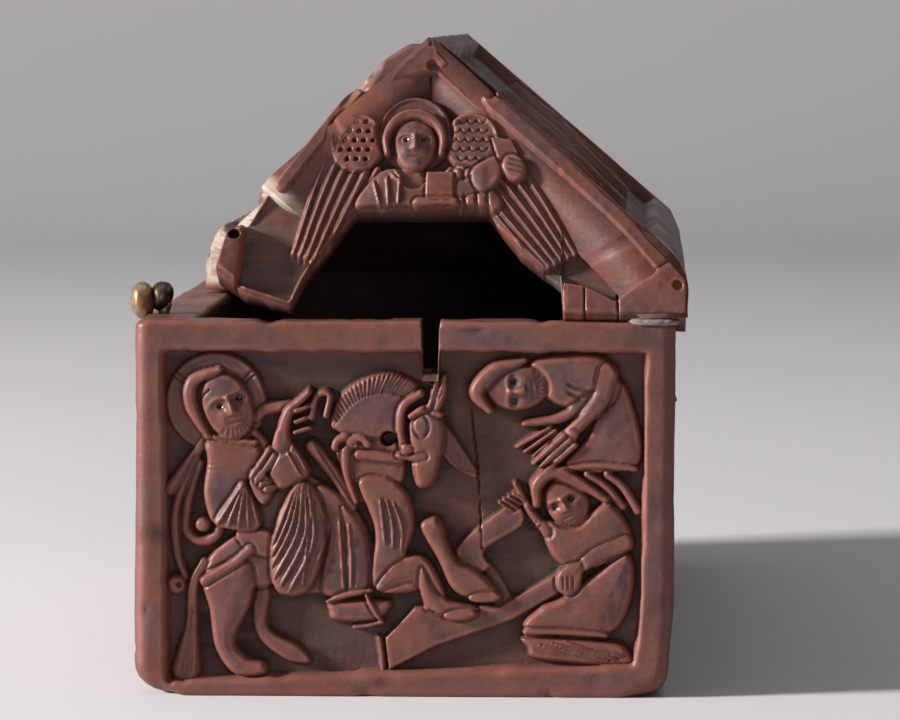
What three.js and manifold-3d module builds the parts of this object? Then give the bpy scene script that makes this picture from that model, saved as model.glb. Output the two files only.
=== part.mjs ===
// A small house-shaped reliquary casket carved from boxwood: a hollowed box and a hollowed hipped lid,
// both worked in relief, with a metal hinge remnant and a thin packing under one corner of the lid.
//
// Millimetres. +X is the right of the end that carries the entry scene, +Y runs back along the box and
// +Z is up. The origin is the middle of the box's underside.

import * as THREE from 'three';
import { mergeVertices } from 'three/addons/utils/BufferGeometryUtils.js';
import Module from 'manifold-3d';

const wasm = await Module();
wasm.setup();

// ---------------------------------------------------------------- driving dimensions

const BOX = {
  halfWidth: 35,
  halfLength: 76,
  height: 49.2,
  footInset: 0.8,
  arrisRadius: 1.8,
  sideWall: 7.6,
  endWall: 5.6,
  floor: 7,
};

const LID = {
  shift: 2.7,
  halfWidth: 34.1,
  halfLength: 76,
  seat: 49.5,
  eaveHeight: 4.5,
  shoulder: { in: 1.5, up: 8 },
  rise: 36.6,
  lean: 15,
  wall: 6,
};

const FRAME = 4;           // width of the plain border round every carved field
const END_RELIEF = 3;      // depth of the carved fields on the two ends
const SIDE_RELIEF = 2.2;   // depth of the carved fields on the long sides and slopes
const GAP = 0.3;           // clearance between pieces that rest on each other
const ROOT = 0.6;          // how far a raised form reaches into the ground behind it

const WOOD = { color: 0x7b4036, roughness: 0.42, metalness: 0 };
const LID_WOOD = { color: 0x734036, roughness: 0.45, metalness: 0 };
const METAL = { color: 0x9a8560, roughness: 0.35, metalness: 1 };
const WAD = { color: 0x8d8984, roughness: 0.95, metalness: 0 };

// ---------------------------------------------------------------- solids

/** A closed three.js geometry as a solid. */
function solidOf(geometry) {
  const bare = geometry.index ? geometry.toNonIndexed() : geometry.clone();
  bare.deleteAttribute('normal');
  bare.deleteAttribute('uv');
  const merged = mergeVertices(bare, 1e-4);
  return new wasm.Manifold(new wasm.Mesh({
    numProp: 3,
    vertProperties: Float32Array.from(merged.attributes.position.array),
    triVerts: Uint32Array.from(merged.index.array),
  }));
}

/** A solid as a three.js geometry. */
function geometryOf(solid) {
  const mesh = solid.getMesh();
  const geometry = new THREE.BufferGeometry();
  geometry.setAttribute('position', new THREE.BufferAttribute(mesh.vertProperties, 3));
  geometry.setIndex(new THREE.BufferAttribute(mesh.triVerts, 1));
  geometry.computeVertexNormals();
  return geometry;
}

const points = (pairs) => pairs.map(([x, y]) => new THREE.Vector2(x, y));
const joinAll = (solids) => solids.reduce((whole, next) => whole.add(next));

/** A prism of a closed outline, from `from` to `to` along its own +Z. */
function prism(outline, from, to) {
  const geometry = new THREE.ExtrudeGeometry(new THREE.Shape(outline), {
    depth: to - from,
    bevelEnabled: false,
  });
  return geometry.translate(0, 0, from);
}

/** A rectangle with a radius of its own at each corner, from the lower left, anticlockwise. */
function roundedRectangle(left, bottom, right, top, radii, steps = 4) {
  const corners = [[left, bottom, 1, 1, Math.PI], [right, bottom, -1, 1, 1.5 * Math.PI],
    [right, top, -1, -1, 0], [left, top, 1, -1, 0.5 * Math.PI]];
  return corners.flatMap(([x, y, inX, inY, start], corner) => {
    const radius = radii[corner];
    return Array.from({ length: steps + 1 }, (_, step) => {
      const angle = start + (step / steps) * (Math.PI / 2);
      return new THREE.Vector2(
        x + inX * radius + radius * Math.cos(angle),
        y + inY * radius + radius * Math.sin(angle),
      );
    });
  });
}

// Outlines are drawn in a view: the first letter runs to the drawing's right, the second up it, and the
// prism's length comes towards the viewer.
const FRONT = new THREE.Matrix4().set(1, 0, 0, 0, 0, 0, -1, 0, 0, 1, 0, 0, 0, 0, 0, 1);
const BACK = new THREE.Matrix4().set(-1, 0, 0, 0, 0, 0, 1, 0, 0, 1, 0, 0, 0, 0, 0, 1);
const LEFT = new THREE.Matrix4().set(0, 0, -1, 0, -1, 0, 0, 0, 0, 1, 0, 0, 0, 0, 0, 1);
const RIGHT = new THREE.Matrix4().set(0, 0, 1, 0, 1, 0, 0, 0, 0, 1, 0, 0, 0, 0, 0, 1);

const facing = (view, geometry) => solidOf(geometry.applyMatrix4(view));

// ---------------------------------------------------------------- carved forms

/** A raised form: a closed outline standing `height` over the ground, its top edge rounded over. */
function raised(pairs, height, { smooth = true, round = 0.4, steps = 1.3 } = {}) {
  const corners = points(pairs);
  let outline = corners;
  if (smooth) {
    const loop = corners.map((corner) => new THREE.Vector3(corner.x, corner.y, 0));
    const curve = new THREE.CatmullRomCurve3(loop, true, 'centripetal');
    outline = curve.getPoints(Math.round(corners.length * steps)).slice(0, -1);
  }
  const geometry = new THREE.ExtrudeGeometry(new THREE.Shape(outline), {
    depth: height + ROOT - 2 * round,
    bevelEnabled: true,
    bevelThickness: round,
    bevelSize: round,
    bevelOffset: -round,
    bevelSegments: 1,
  });
  return geometry.translate(0, 0, round - ROOT);
}

/** A raised strip along a smooth path, its width running evenly through the given widths. */
function strip(pairs, widths, height, { steps = 1.5, round = 0.3 } = {}) {
  const path = new THREE.SplineCurve(points(pairs));
  const count = Math.max(2, Math.round((pairs.length - 1) * steps));
  const left = [];
  const right = [];
  for (let index = 0; index <= count; index += 1) {
    const along = index / count;
    const place = path.getPoint(along);
    const heading = path.getTangent(along);
    const step = along * (widths.length - 1);
    const lower = Math.min(Math.floor(step), widths.length - 2);
    const half = widths.length === 1
      ? widths[0] / 2
      : THREE.MathUtils.lerp(widths[lower], widths[lower + 1], step - lower) / 2;
    left.push([place.x - heading.y * half, place.y + heading.x * half]);
    right.unshift([place.x + heading.y * half, place.y - heading.x * half]);
    if (index === 0 || index === count) {
      const tip = (index === 0 ? -0.6 : 0.6) * half;
      const end = [place.x + heading.x * tip, place.y + heading.y * tip];
      (index === 0 ? right : left).push(end);
    }
  }
  return raised([...left, ...right], height, { smooth: false, round });
}

/** An ellipse standing over the ground, turned by `turn` degrees. */
function boss(x, y, wide, tall, turn, height, corners = 10, round = 0.5) {
  const curve = new THREE.EllipseCurve(x, y, wide, tall, 0, 2 * Math.PI, false, turn * Math.PI / 180);
  const outline = curve.getPoints(corners).slice(0, -1).map((corner) => [corner.x, corner.y]);
  return raised(outline, height, { smooth: false, round });
}

// ---------------------------------------------------------------- the entry scene on the front end

const rider = [
  boss(-24.7, 38.7, 6.2, 6.2, 0, 0.9, 16),
  boss(-22.6, 38.1, 2.8, 4.2, 32, 2.5),
  strip([[-25.6, 34], [-26.9, 37], [-28.1, 40], [-27.2, 42.4], [-24.4, 43.1]], [1.2, 1.8, 1.9, 1.6], 2.8),
  raised([[-25.3, 33.3], [-19.6, 33], [-18.8, 31.3], [-20.7, 28.4], [-22.6, 26], [-24.2, 22.8],
    [-25.6, 23.5], [-26, 27], [-25.6, 30.4]], 2.6),
  raised([[-20.7, 28], [-24.4, 22.8], [-19.6, 22]], 2.2, { smooth: false }),
  raised([[-20, 28.8], [-18.9, 30.3], [-16.9, 27.7], [-18, 25.7], [-19.4, 26.5]], 2.8),
  strip([[-19.3, 28.6], [-17.4, 32.2]], [1.7, 1.2], 2.7),
  raised([[-17.3, 32.5], [-16.5, 35], [-14, 32.6], [-12.3, 29.2], [-16, 27.2], [-17.5, 28.9]], 2.8),
  strip([[-15.9, 34], [-15.2, 36.8], [-12.4, 39.9]], [1.9, 1.5, 0.8], 2.8),
  strip([[-19.3, 36.9], [-15.2, 37.9]], [1.8, 1.2], 1.9),
  strip([[-11.7, 35.8], [-11.3, 38.9], [-9.6, 39.4], [-9.9, 36.2]], [1, 1, 1], 2.4, { steps: 3 }),
  strip([[-12.2, 33], [-9.2, 29.5], [-6.6, 25.2]], [2.2, 2.2, 1.2], 2.3),
  raised([[-14, 27.9], [-16.4, 23.6], [-17.3, 20], [-17.2, 16], [-15.8, 13.1], [-12.9, 13.4], [-11, 17.4],
    [-10.2, 21.6], [-11.7, 27.7]], 2.7),
  raised([[-11.4, 27], [-8, 26.2], [-5.2, 22.6], [-4.9, 14.2], [-7.1, 14], [-7.6, 20.5], [-10.4, 22]], 2.3),
  strip([[-9.6, 12.4], [-7.4, 13.4], [-4.6, 13.6]], [0.8, 1], 2.4),
  strip([[-5, 13], [-2.9, 9.8], [-6.4, 8.9]], [0.8, 0.7], 2, { steps: 1, round: 0.2 }),
  strip([[-8.6, 10.8], [-3, 11.2]], [3, 2.6], 1.7),
  strip([[-25.7, 33.3], [-30, 27.7]], [1.2, 1.9], 2.2),
  strip([[-28, 28.4], [-29.5, 25], [-29.6, 20], [-28.9, 16], [-29.7, 14.2]], [1.2, 1.1, 1.6], 2),
  strip([[-27, 30], [-28.2, 24], [-26.6, 20.3], [-24.3, 21.2], [-25.4, 23.2]], [1.2, 1.1], 1.8),
];

const donkey = [
  raised([[-21.8, 21.8], [-17.3, 21.4], [-17, 18.4], [-20.4, 19.4]], 2, { smooth: false }),
  raised([[-26, 17.5], [-24.9, 19], [-21.8, 21], [-17, 20], [-16.8, 15], [-19.8, 13.5], [-20.3, 11],
    [-22.2, 8.6], [-22.3, 6], [-18.6, 4.8], [-18.4, 4], [-22.4, 3.4], [-24, 4.2], [-25, 7.2], [-25.4, 11.5],
    [-26.2, 14.8]], 2.4),
  raised([[-19.2, 14], [-17.6, 14], [-17.6, 10.5], [-17.8, 7.6], [-13.4, 6.3], [-12, 3.8], [-15.2, 3.6],
    [-16.4, 5.1], [-18.4, 5.6], [-20.6, 7.7]], 1.7),
  strip([[-26, 17.6], [-27.6, 15], [-27.8, 9], [-28.7, 3.2]], [1.1, 1.3, 1.4, 3.8], 2.2),
  raised([[-9.6, 35.6], [-8.6, 39.1], [-6, 41.2], [-2.7, 42.2], [0.2, 41.5], [1.3, 40.2], [-0.3, 38],
    [-1, 34.8], [-3.7, 33.2], [-7.2, 33.6]], 2.2),
  raised([[1, 38.2], [0.2, 35.8], [0.9, 32.5], [0.9, 29], [3.2, 28.8], [4, 33], [4.5, 36], [4, 38.2]], 2.7),
  strip([[-0.5, 31.2], [0, 29]], [1.2, 1], 2.2),
  strip([[2.7, 38.4], [3.3, 41.8]], [1, 0.8], 2.5),
  strip([[3.7, 38.3], [4.9, 41.8]], [1, 0.8], 2.2),
  strip([[1.5, 40], [-0.4, 38.6], [-1, 35.5], [-0.4, 32.6]], [0.9, 1, 1], 2.8),
  strip([[0.5, 37.4], [4.2, 37.5]], [0.8], 2.9, { steps: 1 }),
  strip([[-6.3, 32.6], [-1, 31.9]], [1.4, 1.1], 2.7),
  strip([[-0.9, 31.7], [2, 31.9]], [1, 1], 2.9),
  strip([[-8.9, 33.8], [-8.6, 31], [-6.4, 25.6]], [1, 1.3, 0.9], 2.6),
  raised([[4.6, 36.2], [9.4, 29.1], [6.7, 29.5], [4.6, 32.8]], 1.6, { smooth: false }),
  strip([[4.9, 37.1], [7.7, 38]], [1.3, 1.2], 1.2),
  raised([[-5.9, 28.2], [-2.7, 29], [-0.6, 27.4], [1.1, 22.8], [0.4, 19], [-0.6, 17.7], [2.6, 17.9],
    [4.8, 12.8],
    [8.8, 11.7], [3.9, 11.1], [1.4, 15.4], [-3.8, 14.2], [-4, 20], [-4, 25]], 2.3),
  strip([[3.6, 10.9], [9, 11.4]], [1, 1], 2.5),
  raised([[1.9, 22.2], [3.2, 23.4], [4.6, 23], [6.4, 19.2], [8.2, 16.5], [10.4, 15.8], [12.1, 12.9],
    [9.2, 12.8],
    [8.2, 14.5], [6, 14.3], [4.4, 17.4]], 2.7),
  strip([[8.6, 12.9], [11.9, 13.2]], [0.9, 0.9], 2.9),
];

const cloths = [
  raised([[7, 19.8], [13.9, 24.9], [15.1, 22.3], [10.1, 19.2], [11.5, 16.6],
    [8, 17]], 1.8, { smooth: false }),
  raised([[-2.8, 7.6], [1.2, 11.4], [13.8, 12], [19.8, 16.1], [20, 13.5], [13.8, 9.7], [4, 6.7],
    [-2.1, 3.4]], 1.9,
    { smooth: false }),
  strip([[-3.7, 7.4], [-3.1, 3.6]], [0.7, 0.7], 1.9, { steps: 1, round: 0.2 }),
];

const bendingMan = [
  strip([[15.6, 44.1], [12.4, 43.3], [10.2, 41.8], [9.4, 39.6], [11, 37.4]], [1.2, 2.2, 2.3, 1.2], 2.6),
  boss(14.3, 40.5, 3.5, 2.5, -12, 2.5),
  raised([[16.2, 44], [21.7, 44.8], [25, 44.6], [27.5, 42.4], [27, 39.4], [22.8, 36.8], [21, 38],
    [18.2, 38.7]], 2.4),
  strip([[26.1, 42.4], [25.2, 38.8], [20.4, 33.9]], [3.2, 2.7, 1.9], 2.9),
  strip([[20.4, 33.8], [17.4, 31.1]], [2.3, 1.4], 2.7),
  strip([[22, 40.4], [19.7, 36.5], [15.8, 35.7]], [1.7, 1.6, 1.2], 2.5),
  strip([[19, 35.2], [15.2, 32.8]], [2, 1.6], 2.2),
  raised([[28.2, 39.8], [29.1, 39.6], [30, 31], [21, 30.4], [24, 34.3]], 1.6, { smooth: false }),
  strip([[20.8, 30.1], [25, 30.5], [29.8, 30]], [0.9, 0.9], 1.9, { steps: 1 }),
  ...[[21.6, 29.2, 29.6, 21.8], [23.6, 29.4, 29.9, 23.8], [25.6, 29.6, 30.1, 26]]
    .map(([x0, y0, x1, y1]) => strip([[x0, y0], [x1, y1]], [1.2, 1.4], 1.3, { steps: 1 })),
];

const kneelingMan = [
  strip([[17.2, 25.6], [17, 28], [19.2, 29.4], [22.4, 28], [25.8, 26.1]], [1.3, 1.8, 1.6, 1.2], 2.6),
  boss(21, 25.4, 3.1, 2.4, -52, 2.5),
  raised([[22.3, 22.4], [24.6, 25.5], [26.5, 25.3], [29, 22.5], [29.4, 19.6], [22, 18], [20, 17.8],
    [17, 22.4],
    [18.5, 23], [20, 21.4]], 2.3),
  strip([[16.4, 22.4], [15.9, 25], [14.8, 28]], [1.7, 1.6, 0.8], 2.7),
  strip([[27.6, 20.6], [24.6, 18.8], [22.4, 17.2]], [2.4, 2.1, 1.8], 2.9),
  raised([[20, 16.6], [22.5, 17.6], [23, 15], [21.5, 13.3], [20, 13.6]], 2.8),
  raised([[20.4, 13.2], [24.7, 16.5], [28.8, 18.9], [29.7, 16], [29.3, 12.6], [26.6, 8.4], [16, 9],
    [16.2, 10.6],
    [18, 12.1]], 2.5),
  strip([[16, 8.5], [21, 8.6], [26.6, 8]], [1, 0.9], 2.7),
  raised([[15.9, 7.9], [16.4, 6.2], [18, 4.9], [29, 4.3], [29.3, 6.3], [25, 7.6]], 2.1),
];

// ---------------------------------------------------------------- repeated figures and foliage

/** A robed standing figure with a halo, centred on x, its hem at y. */
function robedFigure(x, y, tall, turn) {
  const at = (across, up) => [x + across * tall * turn, y + up * tall];
  const shape = (pairs) => (turn > 0 ? pairs : [...pairs].reverse()).map(([across, up]) => at(across, up));
  const [headX, headY] = at(0.02, 0.86);
  return [
    boss(headX, headY, 0.125 * tall, 0.125 * tall, 0, 0.7, 8, 0.3),
    boss(headX, headY, 0.066 * tall, 0.088 * tall, 0, 1.9, 6),
    raised(shape([[-0.14, 0.02], [0.17, 0], [0.15, 0.35], [0.14, 0.62], [0.07, 0.77], [-0.08, 0.77],
      [-0.16, 0.6], [-0.17, 0.3]]), 1.9, { steps: 1 }),
    strip([at(0.12, 0.56), at(-0.02, 0.46), at(-0.05, 0.62)], [1.6, 1.3], 2.1, { steps: 1 }),
  ];
}

/** A trailing stem that waves along a field, with a leaf in each bend. */
function leafScroll(from, to, base, swing, bends) {
  const pitch = (to - from) / bends;
  const stem = Array.from({ length: 2 * bends + 1 }, (_, index) => {
    const side = index % 2 === 0 ? 0 : Math.sign(Math.sin((index / 2) * Math.PI));
    return [from + (index * pitch) / 2, base + side * swing * 0.62];
  });
  const leaves = Array.from({ length: bends }, (_, index) => {
    const side = index % 2 === 0 ? -1 : 1;
    const middle = from + (index + 0.5) * pitch;
    const tip = base + side * swing * 0.95;
    const lobes = [-1, 0, 1].map((lobe) => {
      const out = 0.36 * pitch * lobe;
      return strip([[middle, base + side * swing * 0.12], [middle + out, tip - Math.abs(lobe) * side * 2]],
        [1.2, 3.4, 1], 1.8);
    });
    return lobes;
  });
  return [strip(stem, [1.5, 1.5], 1.6, { steps: 1 }), ...leaves.flat()];
}

// ---------------------------------------------------------------- the angel on the lid's front end

const ANGEL = { middle: 0.8, face: 22.8, halo: 4.7, feathers: 5, stand: 2.3 };

/** A wing: a round shoulder, and long feathers that hang from it, each one step in and down from the last. */
function wing(side, tipReach) {
  const at = (across, up) => [ANGEL.middle + side * across, up];
  const blades = Array.from({ length: ANGEL.feathers }, (_, index) => {
    const root = 10.5 - 1.3 * index;
    const tip = tipReach - 0.9 * index;
    const bend = at((root + tip) / 2, 17.5 - 0.9 * index);
    return strip([at(root, 23 - 0.9 * index), bend, at(tip, 9 - 0.5 * index)], [1.3, 1.5, 0.9], ANGEL.stand,
      { steps: 1.5 });
  });
  return [boss(...at(7.7, 23), 3.7, 3.7, 0, ANGEL.stand + 0.2), ...blades];
}

const hairline = new THREE.EllipseCurve(ANGEL.middle, ANGEL.face, 3.5, 4.2, 0, Math.PI).getPoints(4)
  .map((corner) => [corner.x, corner.y]);

const angel = [
  ...wing(-1, 15.5),
  ...wing(1, 21),
  boss(ANGEL.middle, ANGEL.face + 1.7, ANGEL.halo, ANGEL.halo, 0, 1.1, 18),
  raised([[-6, 14.5], [-4, 18.8], [1, 18], [7, 19.5], [10.5, 14.5]], 2.5),
  boss(ANGEL.middle, ANGEL.face, 2.7, 3.9, 0, 2.6, 12),
  strip(hairline, [1.1, 1.5, 1.1], 2.9),
  strip([[8, 17], [12, 20], [14, 20]], [2.2, 1.6, 1.6], 2.8),
  raised([[11, 23.5], [13.5, 23.5], [14.5, 21.5], [12, 20.5]], 2.7, { smooth: false, round: 0.3 }),
];

// ---------------------------------------------------------------- the box

const halfRim = BOX.halfLength;
const cavityHalfWidth = BOX.halfWidth - BOX.sideWall;
const cavityHalfLength = BOX.halfLength - BOX.endWall;

/** The box block: its front outline run back, its corners rounded in plan and its feet drawn in. */
function boxBlock() {
  const outline = roundedRectangle(-BOX.halfWidth, 0, BOX.halfWidth, BOX.height, [5.5, 2.2, 1, 1.5]);
  const plan = roundedRectangle(-BOX.halfWidth, -halfRim, BOX.halfWidth, halfRim,
    Array(4).fill(BOX.arrisRadius));
  const block = facing(FRONT, prism(outline, -halfRim - 1, halfRim + 1));
  const shell = solidOf(prism(plan, -1, BOX.height + 1));
  return block.intersect(shell).warp((vertex) => {
    const drawnIn = 1 - (BOX.footInset / BOX.halfWidth) * (1 - vertex[2] / BOX.height);
    vertex[0] *= drawnIn;
  });
}

/** The hollow, open at the top. */
function boxCavity() {
  const plan = roundedRectangle(-cavityHalfWidth, -cavityHalfLength, cavityHalfWidth, cavityHalfLength,
    Array(4).fill(3));
  return solidOf(prism(plan, BOX.floor, BOX.height + 5));
}

const FRONT_FIELD = [[-30.7, 2], [0, 3.2], [29.7, 4.4], [30.4, 20], [31.2, 45.2], [-31.3, 45.2]];
const NOTCH = [[2.2, 60], [2.2, 44.6], [3.1, 42.8], [4.1, 43.6], [4.5, 60]];

/** Everything raised in one field, standing on its sunk ground. */
function reliefOn(view, forms, groundOffset) {
  const lifted = forms.map((form) => facing(view, form.translate(0, 0, groundOffset)));
  return joinAll(lifted);
}

function makeBox() {
  const endGround = BOX.halfLength - END_RELIEF;
  const sideGround = BOX.halfWidth - SIDE_RELIEF;
  const sideField = roundedRectangle(-halfRim + FRAME, FRAME, halfRim - FRAME, BOX.height - FRAME,
    Array(4).fill(0.5), 1);
  const backField = roundedRectangle(-BOX.halfWidth + FRAME, FRAME, BOX.halfWidth - FRAME, BOX.height - FRAME,
    Array(4).fill(0.5), 1);
  const rowOfFigures = () => [-52, -26, 0, 26, 52].flatMap((x, index) =>
    robedFigure(x, FRAME + 0.6, 37, index % 2 === 0 ? 1 : -1));
  const backFigures = [-19, 0, 19]
    .flatMap((x, index) => robedFigure(x, FRAME + 0.6, 37, index === 1 ? 1 : -1));

  return boxBlock()
    .subtract(facing(FRONT, prism(points(FRONT_FIELD), endGround, endGround + 10)))
    .subtract(facing(BACK, prism(backField, endGround, endGround + 10)))
    .subtract(facing(LEFT, prism(sideField, sideGround, sideGround + 10)))
    .subtract(facing(RIGHT, prism(sideField, sideGround, sideGround + 10)))
    .add(reliefOn(FRONT, [...rider, ...donkey, ...cloths, ...bendingMan, ...kneelingMan], endGround))
    .add(reliefOn(BACK, backFigures, endGround))
    .add(reliefOn(LEFT, rowOfFigures(), sideGround))
    .add(reliefOn(RIGHT, rowOfFigures(), sideGround))
    .subtract(boxCavity())
    .subtract(facing(FRONT, prism(points(NOTCH), cavityHalfLength - 1, BOX.halfLength + 1)))
    .subtract(stapleSeat())
    .subtract(packingSeat());
}

// ---------------------------------------------------------------- the lid

/** Half of the roof's cross-section as [out from the middle, up from the seat], inset by `inset`. */
function roofSection(inset) {
  const { halfWidth, eaveHeight, shoulder, rise } = LID;
  const slope = Math.hypot(rise - shoulder.up, halfWidth - shoulder.in);
  const drop = (inset * slope) / (halfWidth - shoulder.in);
  const half = [[halfWidth - inset, inset > 0 ? -1 : 0], [halfWidth - inset, eaveHeight - inset * 0.3],
    [halfWidth - shoulder.in - inset * 0.7, shoulder.up - inset * 0.5], [0, rise - drop]];
  return [...half, ...half.slice(0, 3).reverse().map(([out, up]) => [-out, up])];
}

/** The roof's side outline as [along, up], inset by `inset`. */
function roofProfile(inset) {
  const { halfLength, lean, rise } = LID;
  const low = inset > 0 ? -1 : 0;
  return [[-halfLength + inset, low], [halfLength - inset, low], [halfLength - inset, 1],
    [halfLength - lean - inset, rise + 0.01], [-halfLength + lean + inset, rise + 0.01],
    [-halfLength + inset, 1]];
}

/** A hipped roof, whole and solid, standing on z = 0. */
function roof(inset) {
  const along = LID.halfLength + 2;
  const across = facing(FRONT, prism(points(roofSection(inset)), -along, along));
  return across.intersect(facing(RIGHT, prism(points(roofProfile(inset)), -along, along)));
}

/** Leans a form drawn in the front view back with the roof's end, which it then stands on. */
function onRoofEnd(view, geometry, groundOffset) {
  const leaning = new THREE.Matrix4().set(1, 0, 0, 0, 0, 1, 0, 0, 0, -LID.lean / LID.rise, 1, 0, 0, 0, 0, 1);
  return facing(view, geometry.applyMatrix4(leaning).translate(0, 0, LID.halfLength + groundOffset));
}

/** Lays a form on a slope: its own x runs along the roof, its y up the slope from the shoulder. */
function onSlope(side, geometry, groundOffset) {
  const out = LID.halfWidth - LID.shoulder.in;
  const up = LID.rise - LID.shoulder.up;
  const length = Math.hypot(out, up);
  const [sin, cos] = [up / length, out / length];
  const lay = new THREE.Matrix4().set(
    0, -side * cos, side * sin, side * out,
    side, 0, 0, 0,
    0, sin, cos, LID.shoulder.up,
    0, 0, 0, 1,
  );
  return solidOf(geometry.translate(0, 0, groundOffset).applyMatrix4(lay));
}

const ANGEL_FIELD = [[-0.5, 33.5], [17.5, 18.5], [29, 7.5], [24.5, 2.5], [18, 5.5], [12, 4], [-17, 1],
    [-24, 8],
  [-21, 16.5], [-9, 29]];
const BACK_FIELD = [[0, 32], [27, 7.8], [26.5, 4], [-26.5, 4], [-27, 7.8]];
const ARCH = [[-9, 14.3], [-15, 6.5], [-17, 2.5], [-17, -2], [18, -2], [17.5, 5], [8.3, 14.3]];
const LOST_CORNER = [[-20, 18], [-20.5, 16], [-23, 12.5], [-27, 10], [-27.3, 5], [-18.3, 2.2], [-16.8, -2],
  [-45, -2], [-45, 18]];
const LOST_SKIN = [[-20.3, 16.2], [-24.3, 8], [-20.5, 4], [-24, 2.6], [-30, 4.5], [-30, 9], [-25, 14]];
const LOST_EAVE = [[-69, -2], [-69, 8], [-64, 12.4], [-46, 13.6], [-36, 11], [-28, 7.4], [-22, 5.6],
    [-17, -2]];
const LOST_MOULDING = [[2, 35], [8, 29.5], [6.5, 28], [0.5, 33.5]];

function makeLid() {
  const slopeLength = Math.hypot(LID.rise - LID.shoulder.up, LID.halfWidth - LID.shoulder.in);
  const slopeField = points([[-LID.halfLength + FRAME + 4, 2], [LID.halfLength - FRAME - 4, 2],
    [LID.halfLength - LID.lean - FRAME, slopeLength - FRAME], [-LID.halfLength + LID.lean + FRAME,
      slopeLength - FRAME]]);
  const scroll = () => leafScroll(-62, 62, (slopeLength - FRAME) / 2 + 1, 15, 5);
  const onBackEnd = [boss(0, 20, 7.4, 7.4, 0, 0.9, 14), boss(0, 19.5, 3.6, 5, 0, 2.2, 10),
    raised([[-10, 5], [10, 5], [8, 12.6], [0, 15], [-8, 12.6]], 2)];
  const lostEave = LOST_EAVE.map(([along, up]) => [-along, up]).reverse();

  let lid = roof(0).subtract(onRoofEnd(FRONT, prism(points(ANGEL_FIELD), -END_RELIEF, 20), 0))
    .subtract(onRoofEnd(BACK, prism(points(BACK_FIELD), -SIDE_RELIEF, 20), 0));
  for (const side of [1, -1]) {
    lid = lid.subtract(onSlope(side, prism(slopeField, 0, 9), -SIDE_RELIEF));
    for (const form of scroll()) lid = lid.add(onSlope(side, form, -SIDE_RELIEF));
  }
  for (const form of angel) {
    lid = lid.add(onRoofEnd(FRONT, form.translate(-LID.shift, 0, 0), -END_RELIEF));
  }
  for (const form of onBackEnd) lid = lid.add(onRoofEnd(BACK, form, -SIDE_RELIEF));

  return lid.subtract(roof(LID.wall))
    .subtract(onRoofEnd(FRONT, prism(points(ARCH), -14, 20), 0))
    .subtract(onRoofEnd(FRONT, prism(points(LOST_CORNER), -8.5, 20), 0))
    .subtract(onRoofEnd(FRONT, prism(points(LOST_SKIN), -3.6, 20), 0))
    .subtract(facing(LEFT, prism(points(lostEave), 12, 60)))
    .subtract(onRoofEnd(FRONT, prism(points(LOST_MOULDING), -4, 20), 0))
    .translate([LID.shift, 0, LID.seat]);
}

// ---------------------------------------------------------------- small pieces

const STAPLE = { x: -34.6, y: -62, lobe: 2.7, shankRadius: 1.1, shankDepth: 6 };
const PACKING = { left: 29.4, right: 35.7, front: -76.2, back: -64, sink: 1, thickness: 0.7 };

/** A round lobe: a short bar along Y with domed ends. */
function lobe(radius, length, x, y, z, rings = 4, sides = 12) {
  const half = length / 2 - radius;
  const quarter = Array.from({ length: rings }, (_, ring) => (ring / (rings - 1)) * (Math.PI / 2));
  const profile = [
    ...quarter.map((angle) => new THREE.Vector2(radius * Math.sin(angle), -half - radius * Math.cos(angle))),
    ...quarter.map((angle) => new THREE.Vector2(radius * Math.cos(angle), half + radius * Math.sin(angle))),
  ];
  return solidOf(new THREE.LatheGeometry(profile, sides).translate(x, y, z));
}

const shankX = STAPLE.x + 3.4;

function makeStaple() {
  const top = BOX.height + STAPLE.lobe;
  const shank = new THREE.CylinderGeometry(STAPLE.shankRadius, STAPLE.shankRadius, STAPLE.shankDepth + 2, 12);
  shank.rotateX(Math.PI / 2).translate(shankX, STAPLE.y + 1, BOX.height + 1 - STAPLE.shankDepth / 2);
  return lobe(STAPLE.lobe, 6.4, STAPLE.x, STAPLE.y, top + GAP)
    .add(lobe(STAPLE.lobe - 0.5, 6, shankX - 0.4, STAPLE.y + 1.6, top + GAP))
    .add(solidOf(shank));
}

/** The drilled hole that the staple's shank stands in. */
function stapleSeat() {
  const radius = STAPLE.shankRadius + GAP;
  const hole = new THREE.CylinderGeometry(radius, radius, STAPLE.shankDepth + 4, 12);
  const middle = BOX.height + 2 - GAP - STAPLE.shankDepth / 2;
  return solidOf(hole.rotateX(Math.PI / 2).translate(shankX, STAPLE.y + 1, middle));
}

/** The worn step in the rim that the packing fills. */
function packingSeat() {
  const step = roundedRectangle(PACKING.left - GAP, PACKING.front - 2, PACKING.right + 2, PACKING.back + GAP,
    [0.5, 0.5, 0.5, 0.5], 1);
  return solidOf(prism(step, BOX.height - PACKING.sink, BOX.height + 2));
}

function makePacking() {
  const corners = [1.2, 2.4, 2, 2.4];
  const plan = roundedRectangle(PACKING.left, PACKING.front, PACKING.right, PACKING.back, corners, 3);
  const from = BOX.height - PACKING.sink + GAP;
  return solidOf(prism(plan, from, from + PACKING.thickness));
}

// ---------------------------------------------------------------- the scene graph

function piece(name, solid, finish) {
  const mesh = new THREE.Mesh(geometryOf(solid), new THREE.MeshStandardMaterial(finish));
  mesh.name = name;
  return mesh;
}

const casket = new THREE.Group();
casket.add(
  piece('casket_box', makeBox(), WOOD),
  piece('casket_lid', makeLid(), LID_WOOD),
  piece('hinge_staple', makeStaple(), METAL),
  piece('corner_packing', makePacking(), WAD),
);

export default casket;
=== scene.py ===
# %% [markdown]
# # A carved boxwood reliquary casket
# The casket is a small house: a hollowed box with a hipped lid, both carved from boxwood and worn smooth
# by handling. Most of what the eye reads is relief: figures left standing three millimetres over a ground
# that was cut away. Relief could be sculpted by hand or piled up from separate solids. Here it is a height
# over a field, because that is how the carver worked: one face, cut back to different depths.

import math

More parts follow.
